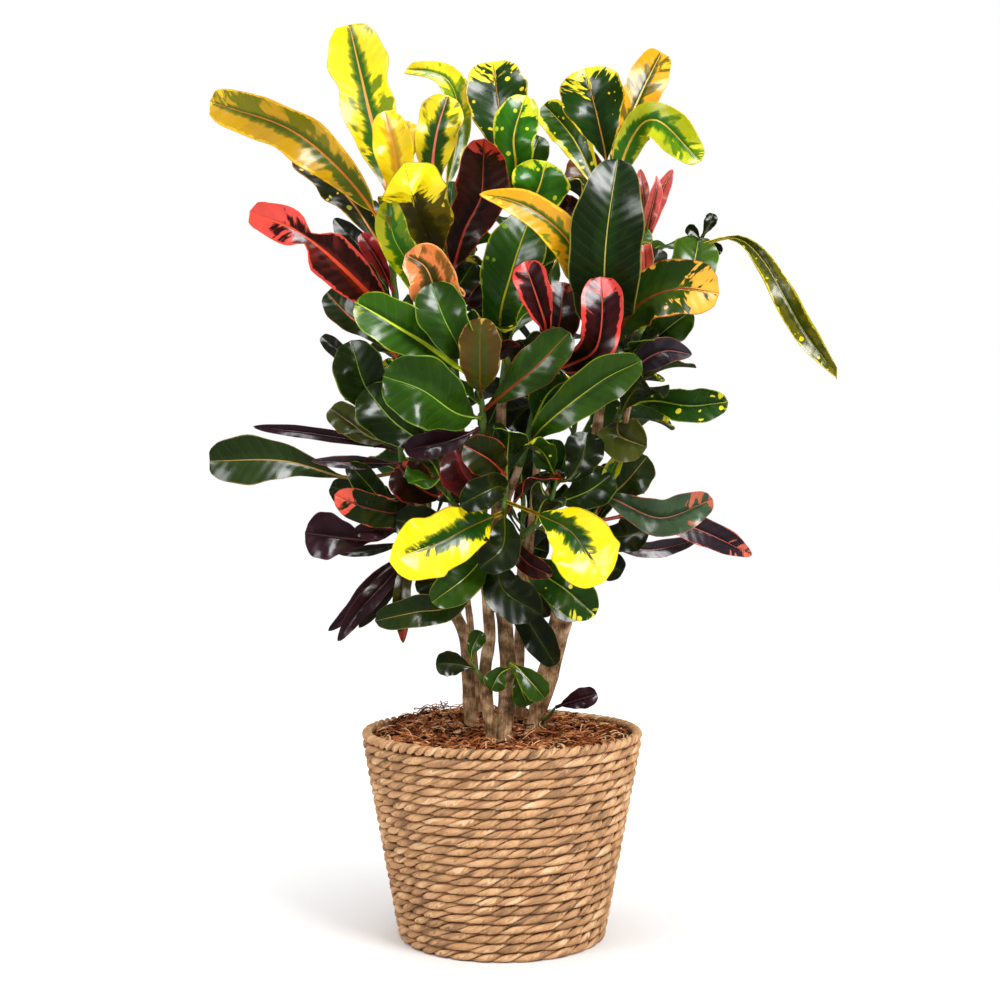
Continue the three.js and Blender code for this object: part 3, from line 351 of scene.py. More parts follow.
STEMS: dict[str, Stem] = {
    "left_crown": Stem("trunk_left", 0.72, (7.5, 2.6), ((478, 800, 24), (471, 728, 24),
        (465, 640, 22), (455, 612, 20), (437, 560, 10), (418, 490, -2), (408, 410, -10),
        (402, 345, -14), (394, 285, -16), (388, 215, -18))),
    "left": Stem("trunk_left", 0.45, (4.5, 2.2), ((425, 518, 3), (410, 488, -14), (402, 462, -26),
        (398, 425, -32))),
    "left_low": Stem("trunk_left", 0.42, (4.5, 2.2), ((440, 567, 11), (424, 552, -12),
        (410, 540, -26), (396, 528, -34))),
    "centre_left": Stem("trunk_front", 0.7, (7, 2.6), ((498, 790, -58), (492, 735, -56),
        (485, 680, -48), (489, 635, -42), (486, 585, -36), (474, 520, -28), (462, 440, -22),
        (455, 370, -18), (449, 300, -18), (440, 205, -20))),
    "centre": Stem("trunk_front", 0.66, (9.5, 2.6), ((501, 800, -60), (502, 742, -58),
        (508, 690, -46), (506, 635, -34), (500, 575, -22), (497, 510, -8), (500, 430, 4),
        (508, 340, 8), (512, 265, 4), (515, 195, 2))),
    "centre_front": Stem("trunk_front", 0.4, (4.5, 2.2), ((466, 470, -24), (480, 440, -44),
        (482, 405, -54), (470, 366, -58))),
    "front_low": Stem("trunk_front", 0.35, (4.5, 2.4), ((488, 602, -38), (494, 565, -54),
        (503, 520, -64), (507, 474, -70))),
    "centre_right": Stem("trunk_front", 0.35, (4.5, 2.2), ((498, 520, -10), (518, 470, -32),
        (532, 420, -44), (543, 350, -50))),
    "right_crown": Stem("trunk_right", 0.7, (10, 2.6), ((530, 800, 34), (535, 728, 32),
        (541, 690, 28), (553, 640, 20), (563, 590, 16), (576, 530, 14), (589, 470, 14),
        (600, 410, 12), (605, 330, 10), (607, 195, 8))),
    "right_low": Stem("trunk_right", 0.45, (4.5, 2.2), ((562, 595, 16), (580, 562, -4),
        (590, 535, -16), (597, 505, -22))),
    "right_mid": Stem("trunk_right", 0.4, (4.5, 2.2), ((592, 455, 13), (612, 428, -4),
        (624, 400, -12), (626, 362, -16))),
    "far_right": Stem("trunk_right", 0.76, (4.5, 2.4), ((536, 725, 32), (550, 690, 22),
        (566, 630, 34), (588, 565, 40), (612, 480, 40), (630, 400, 36), (641, 330, 30),
        (645, 240, 24))),
    "spiky": Stem("trunk_right", 0.5, (3.4, 1.9), ((632, 392, 36), (652, 340, 50), (676, 285, 56),
        (702, 238, 50))),
    "back": Stem("trunk_back", 0.66, (6.5, 2.6), ((522, 790, 70), (521, 720, 68), (519, 650, 62),
        (527, 570, 62), (536, 480, 66), (542, 400, 70), (546, 320, 74), (552, 238, 72))),
    "back_right": Stem("trunk_back", 0.45, (4.2, 2.2), ((532, 520, 65), (556, 478, 96),
        (572, 440, 112), (580, 380, 118))),
    "back_low": Stem("trunk_back", 0.4, (4.2, 2.2), ((522, 610, 62), (520, 575, 90),
        (522, 540, 108), (524, 490, 114))),
    "back_left": Stem("trunk_back_left", 0.66, (4.2, 2.4), ((484, 790, 70), (479, 722, 68),
        (474, 660, 66), (466, 590, 76), (452, 510, 92), (442, 430, 98), (440, 350, 94),
        (446, 270, 84))),
    "back_left_low": Stem("trunk_back_left", 0.4, (3.6, 2.2), ((462, 560, 80), (440, 535, 104),
        (428, 505, 116), (424, 460, 118))),
    "mid_left": Stem("trunk_front", 0.35, (4.2, 2.2), ((476, 535, -30), (462, 514, -52),
        (447, 492, -64), (438, 458, -70))),
    "mid_right": Stem("trunk_front", 0.35, (4.2, 2.2), ((499, 560, -20), (522, 537, -42),
        (546, 512, -52), (558, 474, -56))),
    "sprout_left": Stem("trunk_front", 0.3, (2.6, 1.6), ((486, 690, -50), (479, 674, -62),
        (472, 662, -68))),
    "sprout_front": Stem("trunk_front", 0.3, (2.6, 1.6), ((508, 682, -44), (514, 672, -62),
        (509, 662, -72))),
    "sprout_right": Stem("trunk_right", 0.3, (2.6, 1.6), ((538, 722, 32), (549, 716, 16),
        (556, 706, 8))),
}

STUB_RADIUS = 6.0
STUB_PATH = ((549, 664, 20), (559, 645, 14), (567, 621, 10))

LEAVES: tuple[Leaf, ...] = (
    Leaf("crest", "left_crown", 1, ((384, 168, -20), (369, 110, -10), (350, 27, 12)), 62,
         Tint.CREST, wave=0.12, notch=0.2, own=True),
    Leaf("gold_sweep", "left_crown", 0.9, ((340, 170, -50), (285, 127, -72), (208, 104, -84)), 44,
         Tint.GOLD_SWEEP, roll=-12, wave=0.16, own=True),
    Leaf("left_dark", "left_crown", 0.7, ((356, 208, -24), (326, 174, -14), (298, 146, 4)), 46,
         Tint.DARK_SPOTTED, roll=18, notch=0.2),
    Leaf("red_tongue", "left_crown", 0.3, ((345, 270, -60), (300, 233, -86), (252, 212, -104)), 50,
         Tint.RED_TONGUE, cup=0.1, notch=0.42, own=True),
    Leaf("lime_tongue", "centre_left", 0.2, ((410, 266, -66), (393, 235, -84), (389, 201, -96)),
         32, Tint.LIME_TONGUE, own=True),
    Leaf("peach_curl", "centre_left", 0.42, ((438, 296, -60), (426, 268, -84), (408, 256, -94)),
         46, Tint.PEACH, cup=0.35, own=True),
    Leaf("yellow_tongue", "left_crown", 0.95, ((398, 186, -44), (394, 150, -60), (385, 111, -70)),
         38, Tint.YELLOW_TONGUE, own=True),
    Leaf("gold_cup", "centre_left", 0.62, ((428, 236, -64), (416, 206, -92), (404, 156, -104)), 66,
         Tint.GOLD_CUP, cup=0.4, own=True),
    Leaf("left_rib", "left_crown", 0.06, ((374, 334, -20), (349, 316, -6), (324, 289, 10)), 30,
         Tint.ORANGE_RIB),
    Leaf("red_stripe", "left_crown", 0.5, ((380, 264, -34), (361, 234, -44)), 19, Tint.RED_STRIPE),
    Leaf("left_spear", "left_crown", 0.4, ((368, 258, -8), (331, 215, 14)), 24, Tint.GREY_SPEAR,
         form=Outline.LANCE),
    Leaf("small_blue", "centre_left", 0.8, ((449, 216, -24), (453, 180, -20)), 19,
         Tint.BLUE_GREEN),
    Leaf("lime_rib", "centre_front", 0.8, ((428, 346, -88), (396, 326, -112), (358, 302, -128)),
         46, Tint.LIME_RIB, roll=8),
    Leaf("gloss_upright", "centre_front", 1, ((455, 340, -74), (443, 316, -84), (431, 283, -88)),
         46, Tint.GLOSS, cup=0.3),
    Leaf("big_front", "centre_front", 0.2, ((456, 413, -96), (422, 390, -128), (386, 377, -142)),
         62, Tint.GLOSS, cup=0.25),
    Leaf("bronze", "centre_front", 0.5, ((480, 372, -96), (480, 320, -118)), 40, Tint.BRONZE,
         wave=0.03, own=True),
    Leaf("yellow_rib", "centre", 0.12, ((500, 320, -40), (512, 270, -62), (530, 212, -70)), 56,
         Tint.YELLOW_RIB, roll=-10),
    Leaf("pink_rib", "centre_left", 1, ((433, 168, -26), (437, 132, -34), (448, 95, -40)), 46,
         Tint.PINK_RIB, notch=0.15, own=True),
    Leaf("saddle", "centre_left", 0.96, ((458, 128, 6), (448, 80, 24), (404, 60, 40)), 28,
         Tint.SADDLE, roll=30, own=True),
    Leaf("maroon_top", "centre_left", 0.5, ((464, 232, -34), (482, 192, -46), (476, 142, -52)), 50,
         Tint.MAROON_TOP, cup=0.3, own=True),
    Leaf("spotted_top", "centre", 1, ((507, 150, -2), (500, 112, 4), (492, 58, 10)), 62,
         Tint.SPOTTED, wave=0.12),
    Leaf("lime_top", "centre", 0.9, ((516, 168, -30), (514, 135, -44), (526, 95, -52)), 42,
         Tint.LIME_TOP),
    Leaf("round_top", "centre", 0.72, ((524, 214, -28), (538, 190, -44), (546, 163, -56)), 56,
         Tint.LIME_TOP, form=Outline.PADDLE),
    Leaf("ribbon", "right_crown", 0.5, ((584, 273, -64), (566, 238, -92), (530, 208, -108),
         (484, 188, -118)), 34, Tint.RIBBON, form=Outline.LANCE, roll=-30, twist=80, own=True),
    Leaf("lime_low", "centre", 0.5, ((532, 252, -44), (564, 238, -66)), 38, Tint.LIME_TOP),
    Leaf("spotted_right", "right_crown", 1, ((606, 160, -24), (600, 128, -44), (585, 68, -58)), 62,
         Tint.SPOTTED, form=Outline.PADDLE),
    Leaf("spotted_left", "right_crown", 0.93, ((580, 150, 14), (562, 124, 28), (541, 102, 36)), 36,
         Tint.YELLOW_MARGIN),
    Leaf("big_right", "right_crown", 0.16, ((604, 288, -58), (607, 232, -88), (618, 158, -100)),
         68, Tint.BIG_RIGHT, cup=0.22),
    Leaf("gold_right", "right_crown", 0.98, ((622, 140, 16), (641, 94, 30), (664, 47, 40)), 40,
         Tint.GOLD_RIGHT, own=True),
    Leaf("droop_right", "right_crown", 0.9, ((630, 142, -18), (656, 120, -42), (698, 158, -60)),
         36, Tint.DROOP_RIGHT, own=True),
    Leaf("brown_right", "right_crown", 0.75, ((596, 205, 14), (588, 178, 30), (573, 153, 42)), 40,
         Tint.BROWN, own=True),
    Leaf("crimson_front", "centre_right", 0.95, ((546, 330, -82), (539, 304, -98),
         (525, 263, -112)), 32, Tint.CRIMSON, form=Outline.PADDLE, cup=0.35, own=True),
    Leaf("crimson_right", "centre_right", 0.8, ((571, 364, -66), (595, 350, -92), (602, 318, -104),
         (601, 277, -110)), 40, Tint.CRIMSON, cup=0.3, own=True),
    Leaf("salmon_sliver", "far_right", 0.3, ((644, 280, 0), (644, 235, -8)), 18, Tint.SALMON),
    Leaf("tuft_left", "far_right", 0.95, ((644, 205, 18), (640, 168, 16)), 14, Tint.TUFT,
         form=Outline.LANCE),
    Leaf("tuft_middle", "far_right", 0.98, ((651, 212, 16), (660, 176, 14)), 15, Tint.TUFT,
         form=Outline.LANCE, twist=60),
    Leaf("tuft_right", "far_right", 0.9, ((656, 206, 12), (673, 168, 10)), 16, Tint.TUFT,
         form=Outline.LANCE),
    Leaf("right_pale", "far_right", 0.2, ((672, 300, 20), (692, 268, 34), (700, 233, 46)), 48,
         Tint.PALE_GREEN),
    Leaf("right_small", "far_right", 0.6, ((651, 268, 20), (659, 248, 28)), 24),
    Leaf("orange_tip", "right_crown", 0.08, ((638, 306, -48), (675, 289, -72), (717, 290, -86)),
         56, Tint.ORANGE_TIP, roll=-14, cup=0.3, own=True),
    Leaf("right_long", "right_mid", 0.9, ((646, 348, -26), (668, 328, -40), (691, 311, -50)), 36,
         Tint.LONG_GREEN),
    Leaf("right_grey", "right_mid", 0.7, ((645, 360, -44), (666, 351, -60), (690, 354, -70)), 28,
         Tint.GREY_PURPLE, form=Outline.LANCE),
    Leaf("right_spotted", "right_mid", 0.3, ((654, 401, -30), (690, 406, -56), (726, 402, -70)),
         33, Tint.LIGHT_SPOTTED, wave=0.16),
    Leaf("long_front", "centre_right", 0.12, ((546, 424, -84), (600, 382, -110), (640, 363, -124)),
         42, Tint.LONG_GREEN, roll=8),
    Leaf("red_rib", "centre_front", 0.3, ((506, 392, -80), (536, 367, -98), (568, 332, -108)), 40,
         Tint.RED_RIB, roll=-8),
    Leaf("purple_mid", "centre_front", 0.05, ((452, 440, -66), (407, 450, -88)), 26, Tint.PURPLE),
    Leaf("maroon_round", "front_low", 0.92, ((478, 484, -84), (464, 474, -96), (456, 451, -102)),
         42, Tint.MAROON_ROUND),
    Leaf("small_red_rib", "front_low", 0.98, ((490, 460, -98), (466, 446, -116)), 38,
         Tint.SMALL_RED_RIB),
    Leaf("small_low", "front_low", 0.8, ((496, 487, -102), (462, 504, -118)), 30),
    Leaf("left_long", "left", 0.95, ((384, 412, -52), (364, 384, -68), (351, 341, -76)), 48,
         Tint.LONG_DARK),
    Leaf("left_grey", "left_crown", 0.02, ((360, 366, 0), (319, 334, 20)), 17, Tint.GREY_SPEAR),
    Leaf("left_purple", "left_crown", 0.12, ((384, 374, -40), (354, 343, -52)), 13, Tint.PURPLE,
         form=Outline.LANCE),
    Leaf("left_olive", "left", 0.7, ((372, 438, -10), (352, 424, 8), (328, 406, 22)), 30,
         Tint.OLIVE),
    Leaf("left_thread", "left", 0.5, ((378, 445, -6), (318, 434, 16), (248, 426, 34)), 13,
         Tint.PURPLE, form=Outline.LANCE),
    Leaf("left_arm", "left", 0.15, ((350, 478, -40), (284, 461, -64), (207, 461, -80)), 46,
         Tint.TAN_RIB, form=Outline.PADDLE),
    Leaf("left_band", "left", 0.3, ((368, 463, -56), (314, 461, -80)), 13, Tint.GREY_PURPLE,
         form=Outline.LANCE),
    Leaf("left_under", "left_low", 0.8, ((376, 494, -44), (350, 465, -64)), 25, Tint.LONG_DARK),
    Leaf("left_dark_low", "left_low", 0.6, ((360, 502, 0), (328, 484, 14)), 28),
    Leaf("salmon_edge", "left", 0.02, ((404, 511, -60), (371, 509, -84), (337, 498, -100)), 33,
         Tint.SALMON_EDGE, roll=-12, own=True),
    Leaf("purple_spoon", "left_low", 0.98, ((376, 540, -46), (345, 538, -60), (306, 533, -70)), 45,
         Tint.PURPLE, form=Outline.PADDLE, wave=0.04, own=True),
    Leaf("purple_small", "left_low", 0.9, ((380, 530, -70), (356, 531, -84)), 17, Tint.PURPLE),
    Leaf("grey_wave", "left_low", 0.5, ((372, 550, -22), (336, 553, -14)), 11, Tint.GREY_SPEAR,
         form=Outline.LANCE),
    Leaf("droop_far", "left_low", 0.34, ((372, 582, -10), (350, 612, 4), (326, 633, 10)), 15,
         Tint.PURPLE, form=Outline.LANCE),
    Leaf("droop_mid", "left_low", 0.24, ((384, 584, -46), (358, 612, -60), (338, 641, -66)), 19,
         Tint.PURPLE, form=Outline.LANCE),
    Leaf("droop_near", "left_low", 0.12, ((388, 592, 4), (372, 612, 16), (357, 630, 22)), 14,
         Tint.GREY_SPEAR, form=Outline.LANCE),
    Leaf("droop_olive", "left_low", 0.16, ((403, 584, -60), (403, 643, -66)), 17, Tint.OLIVE_RED,
         form=Outline.LANCE),
    Leaf("low_long", "front_low", 0.02, ((454, 604, -72), (416, 612, -92), (377, 619, -104)), 30,
         Tint.TAN_RIB, roll=10),
    Leaf("yellow_left", "front_low", 0.55, ((470, 527, -106), (432, 546, -132), (388, 557, -146)),
         58, Tint.YELLOW_LEAF, wave=0.08, own=True),
    Leaf("low_bright", "front_low", 0.3, ((470, 573, -92), (434, 601, -112)), 36, Tint.LONG_GREEN),
    Leaf("low_dark", "front_low", 0.15, ((502, 588, -88), (538, 613, -106)), 42),
    Leaf("low_purple", "front_low", 0.4, ((524, 560, -92), (550, 575, -104)), 20, Tint.MAROON_TOP),
    Leaf("yellow_right", "front_low", 0.68, ((544, 517, -102), (575, 536, -128), (599, 583, -140)),
         62, Tint.YELLOW_LEAF, form=Outline.PADDLE, wave=0.06, own=True),
    Leaf("low_right", "front_low", 0.22, ((540, 572, -72), (566, 590, -90), (594, 614, -100)), 40,
         Tint.LIGHT_SPOTTED),
    Leaf("centre_dark", "front_low", 0.6, ((503, 546, -96), (482, 566, -110)), 36),
    Leaf("low_hidden", "right_low", 0.1, ((566, 600, -30), (590, 604, -40)), 34),
    Leaf("left_broad", "mid_left", 1, ((424, 444, -74), (392, 420, -84), (366, 388, -88)), 50,
         Tint.LONG_DARK),
    Leaf("inner_brown", "mid_left", 0.5, ((436, 496, -60), (414, 484, -70), (398, 466, -74)), 40,
         Tint.MAROON_TOP),
    Leaf("inner_dark", "mid_left", 0.1, ((444, 520, -56), (420, 524, -66), (396, 520, -70)), 36),
    Leaf("mid_dark", "mid_right", 0.9, ((570, 478, -58), (582, 458, -62), (588, 432, -60)), 38),
    Leaf("mid_broad", "mid_right", 0.6, ((566, 500, -50), (590, 490, -58), (612, 474, -60)), 38,
         Tint.LONG_DARK),
    Leaf("mid_low", "mid_right", 0.2, ((550, 532, -44), (576, 540, -54), (600, 546, -58)), 36),
    Leaf("low_hanging", "front_low", 0.08, ((524, 612, -56), (540, 640, -60), (556, 666, -60)),
         30),
    Leaf("right_arm", "right_low", 0.95, ((610, 498, -50), (660, 518, -74), (711, 500, -90)), 36,
         Tint.SALMON_ARM, wave=0.14),
    Leaf("purple_blade", "right_low", 0.7, ((650, 514, -10), (704, 532, 4), (756, 557, 16)), 29,
         Tint.PURPLE_BLADE, form=Outline.LANCE, own=True),
    Leaf("right_grey_low", "right_low", 0.4, ((646, 550, 6), (701, 539, 20)), 17, Tint.GREY_PURPLE,
         form=Outline.LANCE),
    Leaf("right_round", "right_low", 1, ((624, 484, -34), (646, 458, -52)), 40, Tint.TAN_RIB),
    Leaf("right_olive", "right_low", 0.55, ((618, 537, -46), (647, 529, -62)), 33),
    Leaf("right_variegated", "right_low", 0.98, ((607, 480, -52), (620, 455, -64)), 15,
         Tint.LIME_TONGUE),
    Leaf("right_folded", "right_mid", 0.05, ((620, 436, -40), (644, 446, -56)), 44, Tint.OLIVE),
    Leaf("hanging", "spiky", 0.9, ((735, 238, 40), (764, 262, 24), (803, 330, 0), (839, 377, -12)),
         24, Tint.HANGING, form=Outline.LANCE, wave=0.2, own=True),
    Leaf("spiky_up", "spiky", 1, ((710, 222, 46), (713, 213, 46)), 13),
    Leaf("spiky_down", "spiky", 0.95, ((710, 246, 38), (722, 252, 36)), 13),
    Leaf("spiky_left", "spiky", 0.97, ((694, 232, 44), (686, 228, 44)), 12),
    Leaf("sprout_tail", "sprout_left", 0.7, ((455, 664, -70), (436, 664, -72)), 24),
    Leaf("sprout_up", "sprout_left", 1, ((472, 650, -68), (481, 631, -66)), 17, Tint.LONG_GREEN),
    Leaf("sprout_round", "sprout_front", 0.7, ((500, 674, -70), (491, 690, -72)), 22,
         Tint.LONG_GREEN),
    Leaf("sprout_long", "sprout_front", 0.95, ((520, 670, -76), (545, 698, -78)), 25,
         Tint.LONG_GREEN),
    Leaf("sprout_under", "sprout_front", 0.5, ((522, 692, -62), (528, 706, -62)), 22,
         Tint.LONG_GREEN),
    Leaf("sprout_purple", "sprout_right", 0.95, ((570, 702, 0), (597, 694, -2)), 21, Tint.PURPLE),
    Leaf("deep_centre", "back", 0.02, ((528, 408, 60), (508, 428, 52)), 40),
    Leaf("deep_stem", "centre", 0.02, ((494, 412, 30), (484, 432, 34)), 26, Tint.LONG_DARK),
    Leaf("deep_red", "back", 0.35, ((558, 330, 56), (564, 282, 50)), 42, Tint.MAROON_TOP),
    Leaf("deep_peach", "back_left", 0.75, ((456, 290, 74), (474, 262, 66)), 42, Tint.LONG_DARK),
    Leaf("deep_low_left", "back_left_low", 0.05, ((444, 572, 88), (418, 590, 76)), 36),
    Leaf("deep_low_right", "back_low", 0.2, ((534, 548, 92), (548, 552, 84)), 34, Tint.LONG_DARK),
    Leaf("deep_foot", "back_low", 0.02, ((536, 592, 84), (548, 616, 76)), 32),
    Leaf("deep_top", "centre", 0.98, ((528, 168, 18), (540, 134, 24)), 30, Tint.LONG_GREEN),
    Leaf("deep_brown", "back", 0.98, ((560, 222, 60), (572, 196, 52)), 34, Tint.MAROON_TOP),
    Leaf("deep_yellow", "left_crown", 0.98, ((398, 160, 0), (410, 118, 10)), 30,
         Tint.YELLOW_TONGUE),
    Leaf("deep_right", "right_low", 0.3, ((600, 560, 10), (624, 572, 14)), 30),
)

FILLS: dict[str, Fill] = {
    "left_crown": Fill(6, 130, 200, (80, 110)),
    "left": Fill(4, 120, 160, (80, 105)),
    "left_low": Fill(3, 110, 140, (70, 95)),
    "centre_left": Fill(6, 90, 260, (75, 105)),
    "centre": Fill(6, 90, 280, (70, 100)),
    "centre_front": Fill(4, -90, 260, (60, 85)),
    "front_low": Fill(5, -90, 220, (65, 90)),
    "centre_right": Fill(5, -60, 260, (65, 95)),
    "right_crown": Fill(7, 60, 260, (75, 110)),
    "right_low": Fill(4, 30, 180, (70, 100)),
    "right_mid": Fill(4, 20, 180, (70, 95)),
    "far_right": Fill(6, 50, 220, (80, 110)),
    "mid_left": Fill(6, -130, 300, (65, 90)),
    "mid_right": Fill(7, -50, 320, (65, 90)),
    "back": Fill(8, 90, 320, (95, 135)),
    "back_right": Fill(7, 65, 260, (95, 135)),
    "back_low": Fill(6, 90, 240, (95, 130)),
    "back_left": Fill(8, 115, 300, (95, 135)),
    "back_left_low": Fill(6, 120, 250, (90, 125)),
}

PLAIN_HABIT = Habit()
HABITS: dict[str, Habit] = {
    "big_right": Habit(0.8, 0.66), "gold_cup": Habit(1.3, 0.6, 125, 0.62, arch=-0.1),
    "crimson_right": Habit(1.5, 0.5, neck=0.12), "crimson_front": Habit(1.5, 0.5),
    "peach_curl": Habit(1.1, 0.5),
    "red_tongue": Habit(1.25, 0.42, 0, 0.7, 0.3, 0.72),
    "saddle": Habit(1.3, 0.55), "gold_sweep": Habit(1.15, 0.5),
    "crest": Habit(1.35, 0.6, 30, 0.75), "orange_tip": Habit(1.5, 0.6),
    "yellow_left": Habit(1.35, 0.62, 30, 0.7, 0.1),
    "yellow_right": Habit(1.45, 0.62, 30, 0.7), "big_front": Habit(1.6, 0.66),
    "gold_right": Habit(1.4, 0.6), "droop_right": Habit(1.3, 0.62),
    "maroon_top": Habit(1.3, 0.6, 60, 0.7),
}
HIGH_TINTS = (Tint.LONG_GREEN, Tint.LONG_DARK, Tint.SPOTTED, Tint.LIME_TOP, Tint.GLOSS,
              Tint.YELLOW_RIB, Tint.RED_RIB)
MIDDLE_TINTS = (Tint.LONG_DARK, Tint.GLOSS, Tint.LONG_GREEN, Tint.DEEP, Tint.RED_RIB,
                Tint.LIGHT_SPOTTED, Tint.MAROON_TOP)
LOW_TINTS = (Tint.DEEP, Tint.LONG_DARK, Tint.PURPLE, Tint.DEEP, Tint.TAN_RIB, Tint.LONG_DARK,
             Tint.SMALL_RED_RIB)
HIGH_ZONE = 660.0         # above this a leaf takes one of the high tints
LOW_ZONE = 450.0
FILL_COLOURS = 7
GOLDEN_ANGLE = 137.508
SEED = 20117
# How a leaf may have been moved to settle clear of the others: its depth along the line of
# sight and its roll, or, for one placed by rule, its climb and its turn about the shoot.
PUSHES = (0, -7, 7, -14, 14, -21, 21, -28, 28, -36, 36, -44, 44)
ROLLS = (0, 14, -14)
CLIMBS = (0, 12, -12, 24, 36)
SHIFTS = (0, 12, -12, 24, -24, 36, -36)
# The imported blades.
PETIOLE = 1.5             # half width of a leaf stalk
BLADE_EDGE = 1.0          # thickness of a leaf at its margin
SEGMENT = 48.0            # length of a span
LEAST_SEGMENTS = 3
MOST_SEGMENTS = 4
FILL_SEGMENTS = 3
PHASE_STEP = 0.37         # from one leaf's waves to the next one's


def unit(vector: Array) -> Array:
    """The vector at length 1."""
    return vector / np.linalg.norm(vector)


class Draw:
    """The seeded draw that the part's source uses for its fill leaves."""

    FACTOR, STEP, LIMIT = 1664525, 1013904223, 2 ** 32

    def __init__(self, seed: int) -> None:
        """Starts the draw."""
        self.state = seed

    def next(self) -> float:
        """The next number from 0 to 1."""
        self.state = (self.state * self.FACTOR + self.STEP) % self.LIMIT
        return self.state / self.LIMIT


@dataclass(frozen=True)
class Pose:
    """A leaf with the points of its midrib and the way that its underside faces.

    Its places along the blade are shares from 0 where the stalk ends to 1 at the tip. What
    holds for packed blades is as in the part's source, and the rest is the fine blades' own.
    """

    leaf: Leaf
    points: tuple[Array, ...]
    facing: Array
    roll: float

    NOTCH, NOTCH_REACH = 0.62, 0.09       # the waist of a notched blade
    NECK, NECK_REACH = 0.64, 0.06         # the second waist that a habit may add
    HEAD, HEAD_REACH = 0.58, 0.1          # where the width beyond that waist changes
    RIPPLE, RIPPLE_STEP = 11.0, 7.0       # beat of the outline, by place and by phase
    RIPPLE_DEPTH, FINE_RIPPLE_DEPTH = 0.05, 0.025
    BLUNT_FROM = 0.8                      # a packed blade's tip is cut beyond this
    WAVES, WAVE_LEAD = 1.6, 0.21          # waves of a margin, and how far it leads the rib
    WAVE_GROWTH = 3.0                     # how fast the waves grow from the stalk
    CUP_POWER = 1.5
    TWIST_FROM = 0.3                      # share of the length where a twist starts
    STATION_POWER, STATION_PULL = 0.9, 0.35

    @property
    def curve(self) -> Spline:
        """The midrib."""
        return Spline(list(self.points))

    @property
    def habit(self) -> Habit:
        """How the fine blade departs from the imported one."""
        return HABITS.get(self.leaf.name, PLAIN_HABIT)

    def past_stalk(self, shares: Array) -> Array:
        """Places along the blade, which are below 0 on the stalk, at shares of the midrib."""
        stalk = self.leaf.form.value.stalk
        return (shares - stalk) / (1 - stalk)

    def half_width(self, shares: Array, blunt: bool) -> Array:
        """Half the blade's width.

        Args:
            shares: shares of the midrib's length.
            blunt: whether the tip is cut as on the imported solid, or runs out round.

        Returns:
            The half widths in millimetres.
        """
        leaf, form, habit = self.leaf, self.leaf.form.value, self.habit
        rise = form.rise * (1 if blunt or leaf.form is Outline.LANCE else habit.swell)
        full = form.full * (1 if blunt else habit.fullness)
        x = self.past_stalk(shares)
        inner = np.clip(x, 0.0, 1.0)
        swell = np.abs(np.sin(np.pi * inner ** rise)) ** full
        waist = 1 - leaf.notch * bell((x - self.NOTCH) / self.NOTCH_REACH)
        if not blunt:
            waist = waist - habit.neck * bell((x - self.NECK) / self.NECK_REACH)
            beyond = smoothstep((x - self.HEAD) / self.HEAD_REACH)
            waist = waist * (1 - (1 - habit.head) * beyond)
        depth = self.RIPPLE_DEPTH if blunt else self.FINE_RIPPLE_DEPTH
        ripple = 1 + depth * np.sin(self.RIPPLE * x + self.RIPPLE_STEP * leaf.phase)
        shape = swell * waist * ripple
        if blunt:
            shape = np.maximum(shape, np.where(x > self.BLUNT_FROM, form.tip, 0.0))
        width = leaf.wide / 2 * shape
        floor = np.where(blunt | (x < 0.5), PETIOLE, 0.0)
        return np.where(x <= 0, PETIOLE, np.maximum(floor, width))

    def lift(self, shares: Array, across: Array, half: Array) -> Array:
        """How far points stand off the blade's plane.

        Args:
            shares: shares of the midrib's length.
            across: from -1 at one margin to 1 at the other.
            half: the blade's half widths there.

        Returns:
            Offsets in millimetres.
        """
        leaf = self.leaf
        x = np.maximum(0.0, self.past_stalk(shares))
        turn = self.WAVES * x + leaf.phase + self.WAVE_LEAD * np.sign(across)
        ripple = np.sin(2 * np.pi * turn) * np.minimum(1.0, self.WAVE_GROWTH * x)
        return half * np.abs(across) ** self.CUP_POWER * (leaf.cup + 2 * leaf.wave * ripple)

    def frames(self, shares: Array) -> tuple[Array, Array, Array]:
        """Centres, cross directions and normals along the midrib.

        Args:
            shares: shares of the midrib's length.

        Returns:
            Three arrays of vectors.
        """
        curve = self.curve
        along = curve.tangents(shares)
        side = np.cross(along, self.facing)
        side /= np.linalg.norm(side, axis=1)[:, None]
        normal = np.cross(along, side)
        angle = np.radians(self.roll + self.leaf.twist * (shares - self.TWIST_FROM))[:, None]
        across = side * np.cos(angle) + normal * np.sin(angle)
        return curve.points(shares), across, np.cross(along, across)

    def fine_frames(self, shares: Array,
                    across: Array) -> tuple[Array, Array, Array]:
        """Centres, cross directions and normals, with the tip bent as the leaf's habit says.

        Args:
            shares: shares of the midrib's length.
            across: from -1 at one margin to 1 at the other.

        Returns:
            Three arrays of vectors.
        """
        centre, cross, normal = self.frames(shares)
        habit, curve = self.habit, self.curve
        if not habit.curl:
            return centre, cross, normal
        begin = habit.bend_at - habit.arch * across ** 2
        start, side, up = self.frames(begin)
        ahead = curve.tangents(begin)
        full, rest = math.radians(habit.curl), 1 - habit.bend_at
        turn = (full * np.maximum(0.0, shares - begin) / rest)[:, None]
        radius = curve.length * rest / full
        bent = start + radius * (ahead * np.sin(turn) + up * (1 - np.cos(turn)))
        past = turn != 0
        return (np.where(past, bent, centre), np.where(past, side, cross),
                np.where(past, up * np.cos(turn) - ahead * np.sin(turn), normal))

